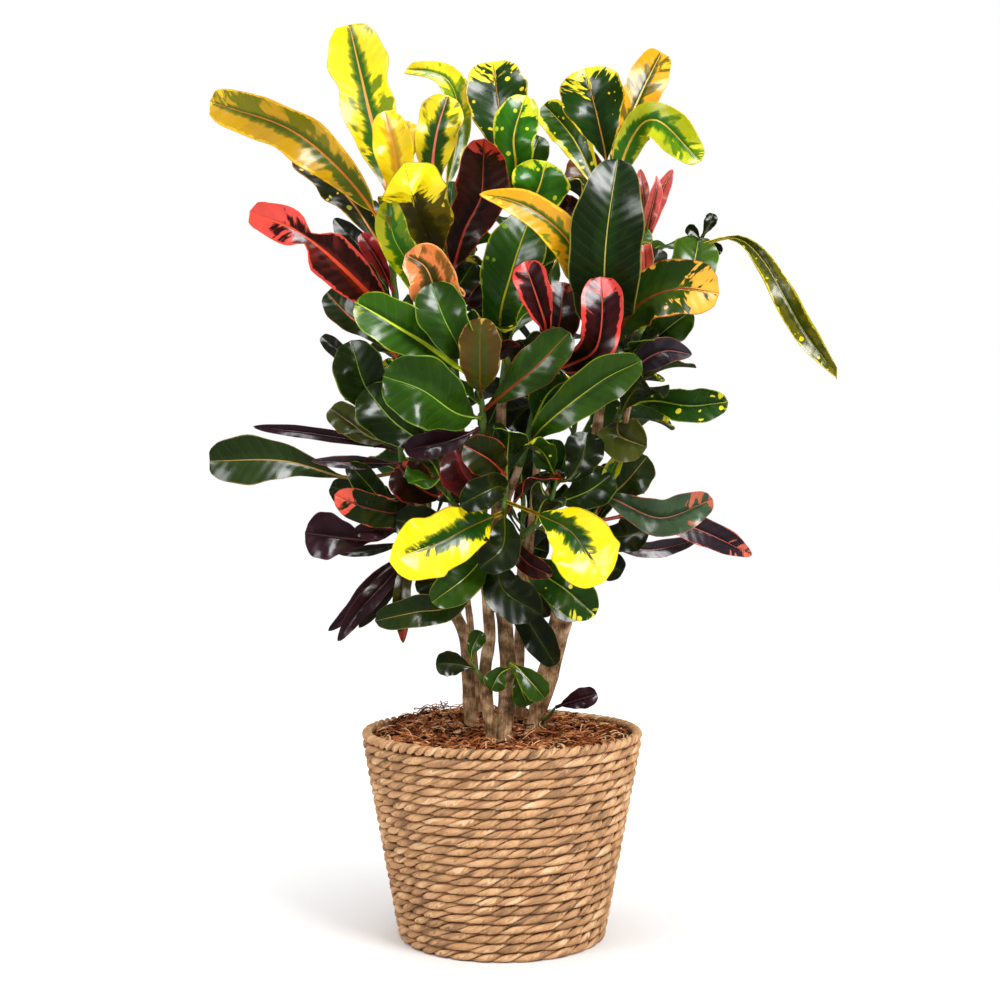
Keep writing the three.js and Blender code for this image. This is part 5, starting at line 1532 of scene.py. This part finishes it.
@dataclass
class RopeBasket:
    """The basket: rows of two-strand rush rope over a lining, with a coiled floor."""

    height: float = 205.0
    base_radius: float = 103.0
    rim_radius: float = 139.5
    rim_rope: float = 10.0
    floor: float = 7.0
    rows: int = 21
    overlap: float = 0.3      # how far each row presses into the next
    twist_pitch: float = 43.0
    lobe_offset: float = 0.43
    lobe_depth: float = 0.58
    lobe_width: float = 0.74
    lobe_bulge: float = 0.12  # how much fuller a strand's outer half is
    linger: float = 0.55      # how much longer a strand stays in front than behind
    steps_per_row: int = 208
    strand_sides: int = 9
    rim_turns: int = 38
    rim_steps_per_turn: int = 10
    coils: int = 10
    spin_steps: int = 72
    lining_unshaded_share: float = 0.62    # the lining's own share of the rope's lightest tone; the rest is painted shade in the crease colour

    STRAND_TAG, ROW_TAG, RIM_TAG = 0.9, 1.7, 50.0
    TWIST_SPREAD, PLUMP_SPREAD = (0.94, 1.06), (0.95, 1.0)

    def outer_radius(self, z: float) -> float:
        """The outside of the wall at a height."""
        top = self.height - self.rim_rope
        return self.base_radius + (self.rim_radius - self.base_radius) * min(1.0, z / top)

    def strand(self, bm: Mesh, layers: tuple[Layer, Layer],
               ring: RopeRing) -> None:
        """Adds one strand of a twisted rope ring.

        Args:
            bm: the mesh to add to.
            layers: the place attribute, and the depth attribute of the painted shade.
            ring: the strand's course.
        """
        verts, around, along = grid_map(bm, ring.steps, self.strand_sides)
        theta = 2 * np.pi * around
        # Slow beats round the ring make its twist, thickness and height uneven.
        beat = ring.wobble * (np.sin(3 * theta + ring.lean)
                              + 0.4 * np.sin(8 * theta + 3 * ring.lean))
        lead = ring.turns * theta + ring.phase + beat
        twist = lead - 0.5 * self.linger * np.sin(2 * lead)
        angle = 2 * np.pi * along
        plump = ring.plump * (1 + 0.05 * np.sin(5 * theta + 2 * ring.tag))
        thick = ring.size * self.lobe_depth
        away = ring.size * self.lobe_offset + thick * plump * np.cos(angle)
        beside = ring.size * self.lobe_width * plump * np.sin(angle)
        beside *= 1 + self.lobe_bulge * np.cos(angle)
        out = away * np.cos(twist) - beside * np.sin(twist)
        up = away * np.sin(twist) + beside * np.cos(twist)
        wave = 0.3 * np.sin(4 * theta + 5 * ring.tag) * ring.sway
        radius = ring.radius + out
        height = np.maximum(ring.z + up + wave, 0.0)
        points = np.stack((radius * np.cos(theta), radius * np.sin(theta), height), axis=1)
        place_verts(verts, points)
        # Painted shade: dark where the strands meet, and between one row and the next.
        from_core = np.clip(8.0 * (np.hypot(out, up) / ring.size - 0.46), 0.0, 1.0)
        unshaded_share = from_core * np.clip(0.28 + 3.4 * np.abs(out) / ring.size, 0.0, 1.0)
        arc = ring.radius * theta * MM
        girth = ring.size * (2 * np.pi * along) * MM
        stalk = np.floor(twist / (2 * np.pi) + 0.5)
        tone = (ring.tag + 3.7 * stalk) * MM
        for vert, place, depth in zip(verts, zip(arc, girth, tone), unshaded_share):
            vert[layers[0]] = place
            vert[layers[1]] = depth
        bmesh.ops.remove_doubles(bm, verts=verts, dist=WELD)

    def rope(self, bm: Mesh, layers: tuple[Layer, Layer], ring: RopeRing) -> None:
        """Adds both strands of a ring.

        Args:
            bm: the mesh to add to.
            layers: the place attribute, and the depth attribute of the painted shade.
            ring: the ring.
        """
        for side in range(2):
            self.strand(bm, layers, replace(ring, phase=ring.phase + math.pi * side,
                                            tag=ring.tag + self.STRAND_TAG * side))

    def lining(self, bm: Mesh, layers: tuple[Layer, Layer]) -> None:
        """Adds the wall behind the rows and the coiled floor, as one turned shell.

        Args:
            bm: the mesh to add to, with nothing else in it.
            layers: the place attribute, and the depth attribute of the painted shade.
        """
        front, back = 5.5, 8.6            # from the rows' outside to the lining's faces
        groove, coil_width, corner = 1.2, 4.6, 8.0
        top = self.height - self.rim_rope
        outline = [(0.0, groove)]
        for coil in range(self.coils):
            centre = (coil + 0.5) * (self.base_radius - 10) / self.coils
            outline += [(centre, 0.0), (centre + coil_width, groove)]
        outline += [(self.base_radius - corner, 2.0),
                    (self.outer_radius(corner) - front, corner),
                    (self.outer_radius(top) - front, top), (self.outer_radius(top) - back, top),
                    (self.outer_radius(self.floor) - back, self.floor), (0.0, self.floor)]
        verts = [bm.verts.new((radius * MM, 0.0, z * MM)) for radius, z in outline]
        edges = [bm.edges.new(pair) for pair in zip(verts, verts[1:])]
        bmesh.ops.spin(bm, geom=verts + edges, cent=(0, 0, 0), axis=(0, 0, 1),
                       angle=2 * math.pi, steps=self.spin_steps, use_merge=True)
        bmesh.ops.remove_doubles(bm, verts=bm.verts, dist=WELD)
        bmesh.ops.recalc_face_normals(bm, faces=bm.faces)
        for vert in bm.verts:
            reach = math.hypot(vert.co.x, vert.co.y)
            vert[layers[0]] = (math.atan2(vert.co.y, vert.co.x) * reach, vert.co.z + reach, 0.02)
            # The whole lining is painted darker, towards the crease colour, as shade.
            vert[layers[1]] = self.lining_unshaded_share

    def layers(self, bm: Mesh) -> tuple[Layer, Layer]:
        """Adds the rope's place attribute, and its depth attribute, which carries the painted
        shade.
        """
        return (bm.verts.layers.float_vector.new("rope_place"),
                bm.verts.layers.float.new("rope_depth"))

    def build(self, rush: Material) -> None:
        """Builds the woven wall and the border rope.

        Args:
            rush: the rope's material.
        """
        dice = random.Random(41)
        bm = bmesh.new()
        layers = self.layers(bm)
        self.lining(bm, layers)
        pitch = (self.height - self.rim_rope) / self.rows
        half = pitch / 2 + self.overlap
        for row in range(self.rows):
            z = (row + 0.5) * pitch
            reach = self.outer_radius(z) - half
            turns = 2 * math.pi * reach / self.twist_pitch * dice.uniform(*self.TWIST_SPREAD)
            phase = dice.uniform(0, 2 * math.pi)
            sway = 1.0 if 0 < row < self.rows - 1 else 0.3
            self.rope(bm, layers, RopeRing(
                reach, z, half, round(turns), self.steps_per_row,
                dice.uniform(*self.PLUMP_SPREAD), sway=sway, lean=2.1 * row, phase=phase,
                tag=self.ROW_TAG * row))
        enlist(finished("woven_basket", bm, [rush]), "basket")

        bm = bmesh.new()
        layers = self.layers(bm)
        half = self.rim_rope / 2
        steps = self.rim_turns * self.rim_steps_per_turn
        self.rope(bm, layers, RopeRing(
            self.rim_radius - half, self.height - half, half, self.rim_turns, steps, 0.98,
            wobble=0.8, sway=0.0, tag=self.RIM_TAG))
        enlist(finished("border_rope", bm, [rush]), "rim_rope")


@dataclass
class CoirMulch:
    """The mulch: a bed of matted coir with loose fibres lying on it in all directions."""

    top: float = 196.0
    underside: float = 184.5
    edge_radius: float = 126.4
    mound: float = 11.0
    fibres: int = 1500
    wisps: float = 0.05       # share of fibres with an end that stands up
    shreds: float = 0.2       # share that are wide flat strips of husk
    cells: int = 72
    fibre_steps: int = 7
    # near-black tone of the bed: painted shade in the gaps between the loose fibres
    bed_shade_tone: float = 0.07
    crumb: float = 1.5        # how far the relief stands over the bed's level
    bed_drop: float = 1.2     # how far the matted bed lies under that, and the loose fibres
    fibre_drop: float = 1.4

    MOUND_AT, MOUND_SPREAD = (-45.0, 85.0), (75.0, 60.0)
    SHRED_LENGTH, SHRED_HEIGHT = 0.7, 0.6
    LENGTH, SHRED_WIDTH, THREAD_WIDTH = (14.0, 44.0), (1.2, 2.4), (0.4, 0.85)
    BEND, TILT, ARCH, WISP_RISE = 2.4, 3.0, 8.0, (4.0, 12.0)
    LIFT, SHADE = (0.2, 2.6), (0.55, 0.28)

    def height(self, x: Array, y: Array) -> Array:
        """The bed's surface: mounded behind on the left, with a coarse relief.

        Args:
            x: places to the right.
            y: places to the back.

        Returns:
            Heights over the floor.
        """
        (mid_x, mid_y), (wide, deep) = self.MOUND_AT, self.MOUND_SPREAD
        mound = self.mound * np.exp(-(((x - mid_x) / wide) ** 2 + ((y - mid_y) / deep) ** 2))
        relief = np.sin(x / 7 + y / 17) + np.sin(y / 6 - x / 13) + np.sin((x + y) / 5)
        return self.top + mound + self.crumb + relief

    def bed(self, bm: Mesh, tone: Layer) -> None:
        """Adds the matted bed, a disc with its edge turned down.

        Args:
            bm: the mesh to add to.
            tone: the tone attribute.
        """
        verts, across, along = grid_map(bm, self.cells, self.cells)
        x, y = 2 * across - 1, 2 * along - 1
        disc_x, disc_y = x * np.sqrt(1 - y * y / 2), y * np.sqrt(1 - x * x / 2)
        px, py = disc_x * self.edge_radius, disc_y * self.edge_radius
        rough = 0.8 * np.sin(px * 1.9 + 3 * np.sin(py * 0.7)) * np.sin(py * 2.3 + px * 0.4)
        z = self.height(px, py) - self.bed_drop + rough
        place_verts(verts, np.stack((px, py, z), axis=1))
        rim = [edge for edge in bm.edges if edge.is_boundary]
        skirt = bmesh.ops.extrude_edge_only(bm, edges=rim)["geom"]
        for vert in (item for item in skirt if isinstance(item, bmesh.types.BMVert)):
            vert.co.z = self.underside * MM
        # The bed takes the darkest tone: painted shade between the fibres.
        for vert in bm.verts:
            vert[tone] = self.bed_shade_tone
        bmesh.ops.holes_fill(bm, edges=[e for e in bm.edges if e.is_boundary], sides=0)
        bmesh.ops.recalc_face_normals(bm, faces=bm.faces)

    def fibre(self, bm: Mesh, tone: Layer, dice: random.Random) -> None:
        """Adds one loose fibre: three-sided, bent, and run out to a point at both ends.

        Args:
            bm: the mesh to add to.
            tone: the tone attribute.
            dice: the draws, which depend on their order.
        """
        spread = math.sqrt(dice.random()) * (self.edge_radius - 4)
        around = dice.uniform(0, 2 * math.pi)
        heading = dice.uniform(0, 2 * math.pi)
        bend = dice.gauss(0, self.BEND)
        shred = dice.random() < self.shreds
        length = dice.uniform(*self.LENGTH) * (self.SHRED_LENGTH if shred else 1.0)
        share = np.linspace(-0.5, 0.5, self.fibre_steps + 1)
        turn = heading + bend * share
        x = spread * math.cos(around) + length * share * np.cos(turn)
        y = spread * math.sin(around) + length * share * np.sin(turn)
        far = np.maximum(np.hypot(x, y), TINY)
        squeeze = np.minimum(1.0, (self.edge_radius - 1.5) / far)
        x, y = x * squeeze, y * squeeze
        arch = self.ARCH * dice.random() ** 2 * (1 - 4 * share ** 2)
        lift = dice.uniform(*self.LIFT) + arch + dice.gauss(0, self.TILT) * share
        if dice.random() < self.wisps:
            lift = lift + dice.uniform(*self.WISP_RISE) * (share + 0.5) ** 2
        z = self.height(x, y) + lift - self.fibre_drop
        width = dice.uniform(*(self.SHRED_WIDTH if shred else self.THREAD_WIDTH))
        radii = width * np.sqrt(np.maximum(0.0, 1 - (2 * share) ** 4))
        verts = pipe(bm, np.stack((x, y, z), axis=1), radii, 3, closed_ends=False)
        shade = dice.gauss(*self.SHADE) + (0.05 if shred else 0.0)
        for vert in verts:
            vert[tone] = min(1.0, max(0.05, shade))
            if shred:
                lowest = self.height(vert.co.x / MM, vert.co.y / MM) * MM
                vert.co.z = lowest + (vert.co.z - lowest) * self.SHRED_HEIGHT

    def build(self, coir: Material) -> None:
        """Builds the bed and its fibres.

        Args:
            coir: the fibre's material.
        """
        dice = random.Random(7)
        loose = bmesh.new()
        tone = loose.verts.layers.float.new("fibre_tone")
        for _ in range(self.fibres):
            self.fibre(loose, tone, dice)
        mesh = bpy.data.meshes.new("loose_fibres")
        loose.to_mesh(mesh)
        loose.free()
        bm = bmesh.new()
        self.bed(bm, bm.verts.layers.float.new("fibre_tone"))
        bm.from_mesh(mesh)
        bpy.data.meshes.remove(mesh)
        enlist(finished("coir_bed", bm, [coir]), "coir_mulch")


@dataclass
class Trunks:
    """The woody stems, each trunk one grown piece with its limbs."""

    sides: int = 16
    step: float = 7.0
    knot: float = 0.1
    pinch: float = 0.25       # how much narrower the front trunk's two limbs start
    splay: float = 1.6        # how far each of them is moved out there
    fork_u: float = 499.5     # the photograph's column between them
    soil_v: float = 700.0     # stems that start below this row stand in the soil
    foot: float = 55.0        # how far up a stem its foot is full, and how fast it ends
    foot_end: float = 35.0
    flare: float = 0.1
    stub_rings: int = 8
    voxel_mm: float = 1.3

    def limb(self, bm: Mesh, curve: Spline, stem: Stem, tag: float) -> None:
        """Adds one limb, knotted at the scars of old leaves.

        Args:
            bm: the mesh to add to.
            curve: the stem's axis.
            stem: the stem.
            tag: sets its knots apart from other limbs'.
        """
        rows = max(4, round(curve.length * stem.green / self.step))
        shares = np.linspace(0.0, stem.green, rows + 1)
        centres = curve.points(shares)
        distance = (shares * curve.length)[:, None]
        angle = 2 * np.pi * np.arange(self.sides) / self.sides
        lumps = np.sin(distance / 9.0 + tag) * np.sin(angle + distance / 40 + tag)
        scars = np.maximum(0, np.sin(distance / 5.2 + 2 * tag)) ** 6
        ribs = 0.5 * np.sin(3 * angle + distance / 60 + 3 * tag)
        radii = stem.radius_at(shares)[:, None] * (1 + self.knot * (lumps + scars + ribs))
        if stem.path[0][1] > self.soil_v:
            foot = smoothstep(1 - (distance - self.foot) / self.foot_end)
            front = stem.trunk == "trunk_front"
            radii = radii * (1 + (-self.pinch if front else self.flare) * foot)
            if front:
                way = -1 if stem.path[0][0] < self.fork_u else 1
                centres[:, 0] += self.splay * foot[:, 0] * way
        pipe(bm, centres, radii, self.sides)

    def build(self, layout: Layout, bark: Material) -> None:
        """Builds every trunk.

        Args:
            layout: where the stems stand.
            bark: the trunks' material.
        """
        for trunk in dict.fromkeys(stem.trunk for stem in STEMS.values()):
            bm = bmesh.new()
            for index, (name, stem) in enumerate(STEMS.items()):
                if stem.trunk == trunk:
                    self.limb(bm, layout.curves[name], stem, 1.3 * index)
            if trunk == "trunk_right":
                stub = Spline([seen(point) for point in STUB_PATH])
                shares = np.linspace(0, 1, self.stub_rings)
                radii = np.full(self.stub_rings, STUB_RADIUS)
                pipe(bm, stub.points(shares), radii, self.sides)
            piece = finished(f"bark_{trunk}", bm, [bark])
            piece.modifiers.new("grown", "REMESH").voxel_size = self.voxel_mm * MM
            smooth = piece.modifiers.new("healed", "SMOOTH")
            smooth.factor, smooth.iterations = 0.5, 2
            bake_modifiers(piece, 180)
            for face in piece.data.polygons:
                face.use_smooth = True
            enlist(piece, trunk)


@dataclass
class Foliage:
    """The green shoots with their leaves, and the leaves that are pieces of their own."""

    thickness: float = 0.95
    fine_from: float = 18.0   # leaves that are no wider get the coarser grid
    fine_cells: tuple[int, int] = (14, 30)
    fill_cells: tuple[int, int] = (10, 20)
    fill_swell: float = 1.14  # how much wider the leaves placed by rule are than packed
    squeeze: float = 1.3      # how much finer the grid is at the midrib
    foot: float = 0.12        # share of the grid that the stalk takes
    crowding: float = 0.65    # how much finer the grid is at the tip
    ruffle: float = 0.16
    ruffles: float = 2.3
    frill: float = 0.035
    frill_end: float = 0.93
    tip_curl: float = 0.07
    curl_from: float = 0.6
    fold: float = 0.22
    scroll: float = 40.0      # degrees of curl from which a blade folds little
    rib_sink: float = 0.55
    rib_reach: float = 1.6
    rib_from: float = 34.0    # narrower leaves have a thinner rib
    vein_slant: float = 0.75
    crease: float = 55.0      # degrees from which an edge is sharp
    shoot_sides: int = 10
    shoot_step: float = 6.0
    shoot_gap: float = 0.3    # between a shoot and the wood that carries it

    def layers(self, bm: Mesh) -> dict[str, Layer]:
        """Adds the attributes that the leaf material reads.

        Args:
            bm: the mesh to add to.

        Returns:
            The attributes by name.
        """
        made = {name: bm.verts.layers.float_vector.new(name)
                for name in ("blade_place", "blade_vein")}
        for name in ("blade_body", "blade_blotch", "blade_rib", "blade_edge"):
            made[name] = bm.verts.layers.float_color.new(name)
        made["blade_mottle"] = bm.verts.layers.float.new("blade_mottle")
        return made

    def grid(self, bm: Mesh, pose: Pose) -> tuple[Verts, Array, Array]:
        """Adds the flat grid of a blade.

        Args:
            bm: the mesh to add to.
            pose: the leaf in its place.

        Returns:
            The vertices, how far each is across from -1 to 1, and its share of the midrib.
        """
        leaf, stalk = pose.leaf, pose.leaf.form.value.stalk
        fine = not leaf.length and leaf.wide > self.fine_from
        verts, across, along = grid_map(bm, *(self.fine_cells if fine else self.fill_cells))
        q = 2 * across - 1
        q = np.sign(q) * np.abs(q) ** self.squeeze
        past = (along - self.foot) / (1 - self.foot)
        past = (1 - self.crowding) * past + self.crowding * np.sin(np.pi / 2 * past)
        shares = np.where(along < self.foot, stalk * along / self.foot,
                          stalk + (1 - stalk) * past)
        return verts, q, shares

    def blade(self, bm: Mesh, layers: dict[str, Layer], pose: Pose) -> None:
        """Adds one blade as a single sheet, with its colours.

        Args:
            bm: the mesh to add to.
            layers: the attributes that the leaf material reads.
            pose: the leaf in its place.
        """
        leaf, tint, length = pose.leaf, pose.leaf.tint.value, pose.curve.length
        verts, q, shares = self.grid(bm, pose)
        half = pose.half_width(shares, False) * (self.fill_swell if leaf.length else 1.0)
        centre, cross, normal = pose.fine_frames(shares, q)
        x = np.clip(pose.past_stalk(shares), 0, 1)
        scroll = pose.habit.curl > self.scroll
        deep = 0.2 if scroll else 0.4 + 1.2 * (leaf.phase * 7.3 % 1)
        fold = self.fold * deep * half * np.abs(q)
        rise = pose.lift(shares, q, half) + fold * np.minimum(1, 3 * x) * (1 - 0.6 * x)
        beat = 2 * np.pi * (self.ruffles * x + 3 * leaf.phase) + 1.9 * np.sign(q)
        ruffle = self.ruffle * half * q ** 2 * np.sin(beat) * np.minimum(1, 4 * x)
        half = half * (1 + self.frill * np.abs(q) * np.sin(1.7 * beat) * (x < self.frill_end))
        channel = np.where(x <= 0, 0.9 * q ** 2, 0.0)
        sink = -self.rib_sink * bell(q * half / self.rib_reach) * (x > 0)
        end = np.maximum(0, x - self.curl_from) / (1 - self.curl_from)
        off = (rise + ruffle + channel + sink - self.tip_curl * length * end ** 2)[:, None]
        place_verts(verts, centre + cross * (q * half)[:, None] + normal * off)
        far = np.abs(q) * half * MM
        chevron = shares * length * MM - self.vein_slant * far
        seed = leaf.phase * 3.7 + len(leaf.name) * 0.31 + leaf.at
        rib = tint.rib_mm * min(1.0, leaf.wide / self.rib_from) * MM
        hues = {"blade_body": linear(tint.body, tint.feather),
                "blade_blotch": linear(tint.blotch, tint.spots),
                "blade_rib": linear(tint.rib, rib),
                "blade_edge": linear(tint.edge, tint.margin)}
        for i, vert in enumerate(verts):
            vert[layers["blade_place"]] = (abs(q[i]), x[i], tint.tip)
            side = 0.05 * np.sign(round(q[i], 3))
            vert[layers["blade_vein"]] = (chevron[i], far[i], seed + side)
            vert[layers["blade_mottle"]] = tint.mottle
            for name, hue in hues.items():
                vert[layers[name]] = hue
        bmesh.ops.remove_doubles(bm, verts=verts, dist=WELD)

    def sheet(self, name: str, poses: list[Pose],
              skins: list[Material]) -> Thing:
        """Builds the blades of one piece and gives them their thickness.

        Args:
            name: the piece's name.
            poses: its leaves.
            skins: the leaf material, and that of the shoot that may be added to it.

        Returns:
            The piece.
        """
        bm = bmesh.new()
        layers = self.layers(bm)
        for pose in poses:
            self.blade(bm, layers, pose)
        piece = finished(name, bm, skins, 0.6 * self.thickness * MM)
        solid = piece.modifiers.new("thickness", "SOLIDIFY")
        solid.thickness = self.thickness * MM
        solid.offset = 0.0
        bake_modifiers(piece, self.crease)
        return piece

    def shoot(self, layout: Layout, name: str, piece: Thing) -> None:
        """Adds the green shoot to the piece that holds its leaves.

        Args:
            layout: where the stems stand.
            name: the stem's name.
            piece: the piece.
        """
        stem, curve = STEMS[name], layout.curves[name]
        rows = max(6, round(curve.length * (1 - stem.green) / self.shoot_step))
        shares = np.linspace(stem.green + self.shoot_gap / curve.length, 1.0, rows + 1)
        distance = shares * curve.length
        swell = 1 + 0.12 * np.maximum(0, np.sin(distance / 4.1)) ** 4
        end = np.sqrt(np.clip((1 - shares) / (1 - shares[-3]), 0.02, 1))
        radii = stem.radius_at(shares) * swell * end
        bm = bmesh.new()
        bm.from_mesh(piece.data)
        before = len(bm.faces)
        pipe(bm, curve.points(shares), radii, self.shoot_sides)
        bm.faces.ensure_lookup_table()
        for face in bm.faces[before:]:
            face.material_index = 1
            face.smooth = True
        clip_to_box(bm, 0.0)
        bm.to_mesh(piece.data)
        bm.free()

    def build(self, layout: Layout, skins: list[Material],
              slots: dict[str, str]) -> None:
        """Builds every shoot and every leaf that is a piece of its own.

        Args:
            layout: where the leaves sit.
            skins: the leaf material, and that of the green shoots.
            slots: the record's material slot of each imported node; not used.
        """
        poses = layout.named() + layout.filling()
        LOG.info("%d leaves", len(poses))
        for name in STEMS:
            held = [pose for pose in poses if pose.leaf.stem == name and not pose.leaf.own]
            piece = self.sheet(f"foliage_{name}", held, skins)
            self.shoot(layout, name, piece)
            node = f"shoot_{name}"
            enlist(piece, node)
        for pose in poses:
            if pose.leaf.own:
                node = f"leaf_{pose.leaf.name}"
                piece = self.sheet(f"blade_{pose.leaf.name}", [pose], skins)
                enlist(piece, node)


@dataclass
class Studio:
    """The camera, a pale floor and soft lamps, in metres and watts."""

    floor_size: float = 12.0
    glow_from: float = 0.2    # how far from the middle the floor's own light starts
    glow_to: float = 1.2
    glow: float = 0.3
    near: float = 0.05
    room: float = 0.26        # light of the surroundings, and what shiny things see of it
    mirrored_room: float = 0.07
    sky_angle: float = 110.0
    sky_power: float = 1.9
    aim: tuple[float, float, float] = (0.0, 0.0, 0.45)

    # Each soft box: name, place, size and power.
    LAMPS = (("key", (1.25, -1.5, 1.9), 1.0, 50.0),
             ("fill", (-1.7, -1.3, 1.3), 0.9, 17.0),
             ("top", (-0.2, 0.3, 2.3), 0.9, 14.0))

    def add(self, name: str, data: bpy.types.ID) -> Thing:
        """Adds an object to the scene.

        Args:
            name: the object's name.
            data: its camera, light or mesh.

        Returns:
            The object.
        """
        thing = bpy.data.objects.new(name, data)
        bpy.context.scene.collection.objects.link(thing)
        return thing

    def camera(self) -> None:
        """Makes the camera where the photograph was taken from."""
        data = bpy.data.cameras.new("photo_camera")
        data.sensor_width = SENSOR_MM
        data.lens = SENSOR_MM * EYE_DISTANCE / SHEET_WIDTH
        data.shift_x = (SHEET_WIDTH / 2 - AXIS_U) / SHEET_WIDTH
        data.clip_start = self.near
        camera = self.add("photo_camera", data)
        camera.location = EYE * MM
        camera.rotation_euler = (math.pi / 2, 0.0, 0.0)
        bpy.context.scene.camera = camera

    def floor(self) -> None:
        """Lays a plain white floor of matt paper, which glows a little away from the plant."""
        bm = bmesh.new()
        bmesh.ops.create_grid(bm, x_segments=1, y_segments=1, size=self.floor_size / 2)
        mesh = bpy.data.meshes.new("floor")
        bm.to_mesh(mesh)
        bm.free()
        floor = self.add("floor", mesh)
        recipe = Recipe("matt_white_paper")
        recipe.work(("where", "WHERE"))
        recipe.add("away", "ShaderNodeVectorMath", {0: "where"}, "Value", operation="LENGTH")
        recipe.work(("glow", "SPREAD", "away", self.glow_from, self.glow_to, 0.0, self.glow))
        mesh.materials.append(recipe.close(
            {"Base Color": linear("ededed"), "Roughness": 0.9,
             "Emission Color": linear("ffffff"), "Emission Strength": "glow"}))
        floor.visible_glossy = False

    def world(self) -> None:
        """Makes the surroundings: the plant is lit by a dim room that is seen as white paper."""
        world = bpy.data.worlds.new("studio")
        world.use_nodes = True
        tree = world.node_tree
        tree.nodes.clear()
        path = add_node(tree, "ShaderNodeLightPath").outputs
        dim, mirrored, white = (
            add_node(tree, "ShaderNodeBackground",
                     {"Color": linear("ffffff"), "Strength": strength}).outputs[0]
            for strength in (self.room, self.mirrored_room, 1.0))
        unseen = add_node(tree, "ShaderNodeMixShader",
                          {0: path["Is Glossy Ray"], 1: dim, 2: mirrored}).outputs[0]
        both = add_node(tree, "ShaderNodeMixShader",
                        {0: path["Is Camera Ray"], 1: unseen, 2: white}).outputs[0]
        add_node(tree, "ShaderNodeOutputWorld", {"Surface": both})
        bpy.context.scene.world = world

    def lamps(self) -> None:
        """Hangs a broad light overhead, and the square soft boxes that face the plant."""
        sky = bpy.data.lights.new("overhead", "SUN")
        sky.angle = math.radians(self.sky_angle)
        sky.energy = self.sky_power
        self.add("overhead", sky).visible_glossy = False
        for name, place, size, power in self.LAMPS:
            data = bpy.data.lights.new(name, "AREA")
            data.shape = "SQUARE"
            data.size = size
            data.energy = power
            lamp = self.add(name, data)
            lamp.location = place
            towards = Vector(self.aim) - Vector(place)
            lamp.rotation_euler = towards.to_track_quat("-Z", "Y").to_euler()

    def build(self) -> None:
        """Sets up camera, floor, surroundings and lamps."""
        self.camera()
        self.floor()
        self.world()
        self.lamps()
        bpy.context.scene.view_settings.view_transform = "Standard"


def main() -> None:
    """Builds the studio and the plant in order."""
    logging.basicConfig(level=logging.INFO, format="%(name)s: %(message)s")
    slots = {part["node"]: part["material_slot"] for part in frame["record"]["subparts"]}
    Studio().build()
    RopeBasket().build(TwistedRush().make())
    CoirMulch().build(CoirFibre().make())
    for node, finish in (("grow_pot", MouldedPlastic()), ("root_ball", SOIL)):
        mesh = frame["nodes"][node].data
        mesh.materials.clear()
        mesh.materials.append(finish.make())
    layout = Layout(frame["nodes"])
    Trunks().build(layout, BARK.make())
    Foliage().build(layout, [WaxyLeaf().make(), GREEN_STEM.make()], slots)
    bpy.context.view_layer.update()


if __name__ == "__main__":
    main()
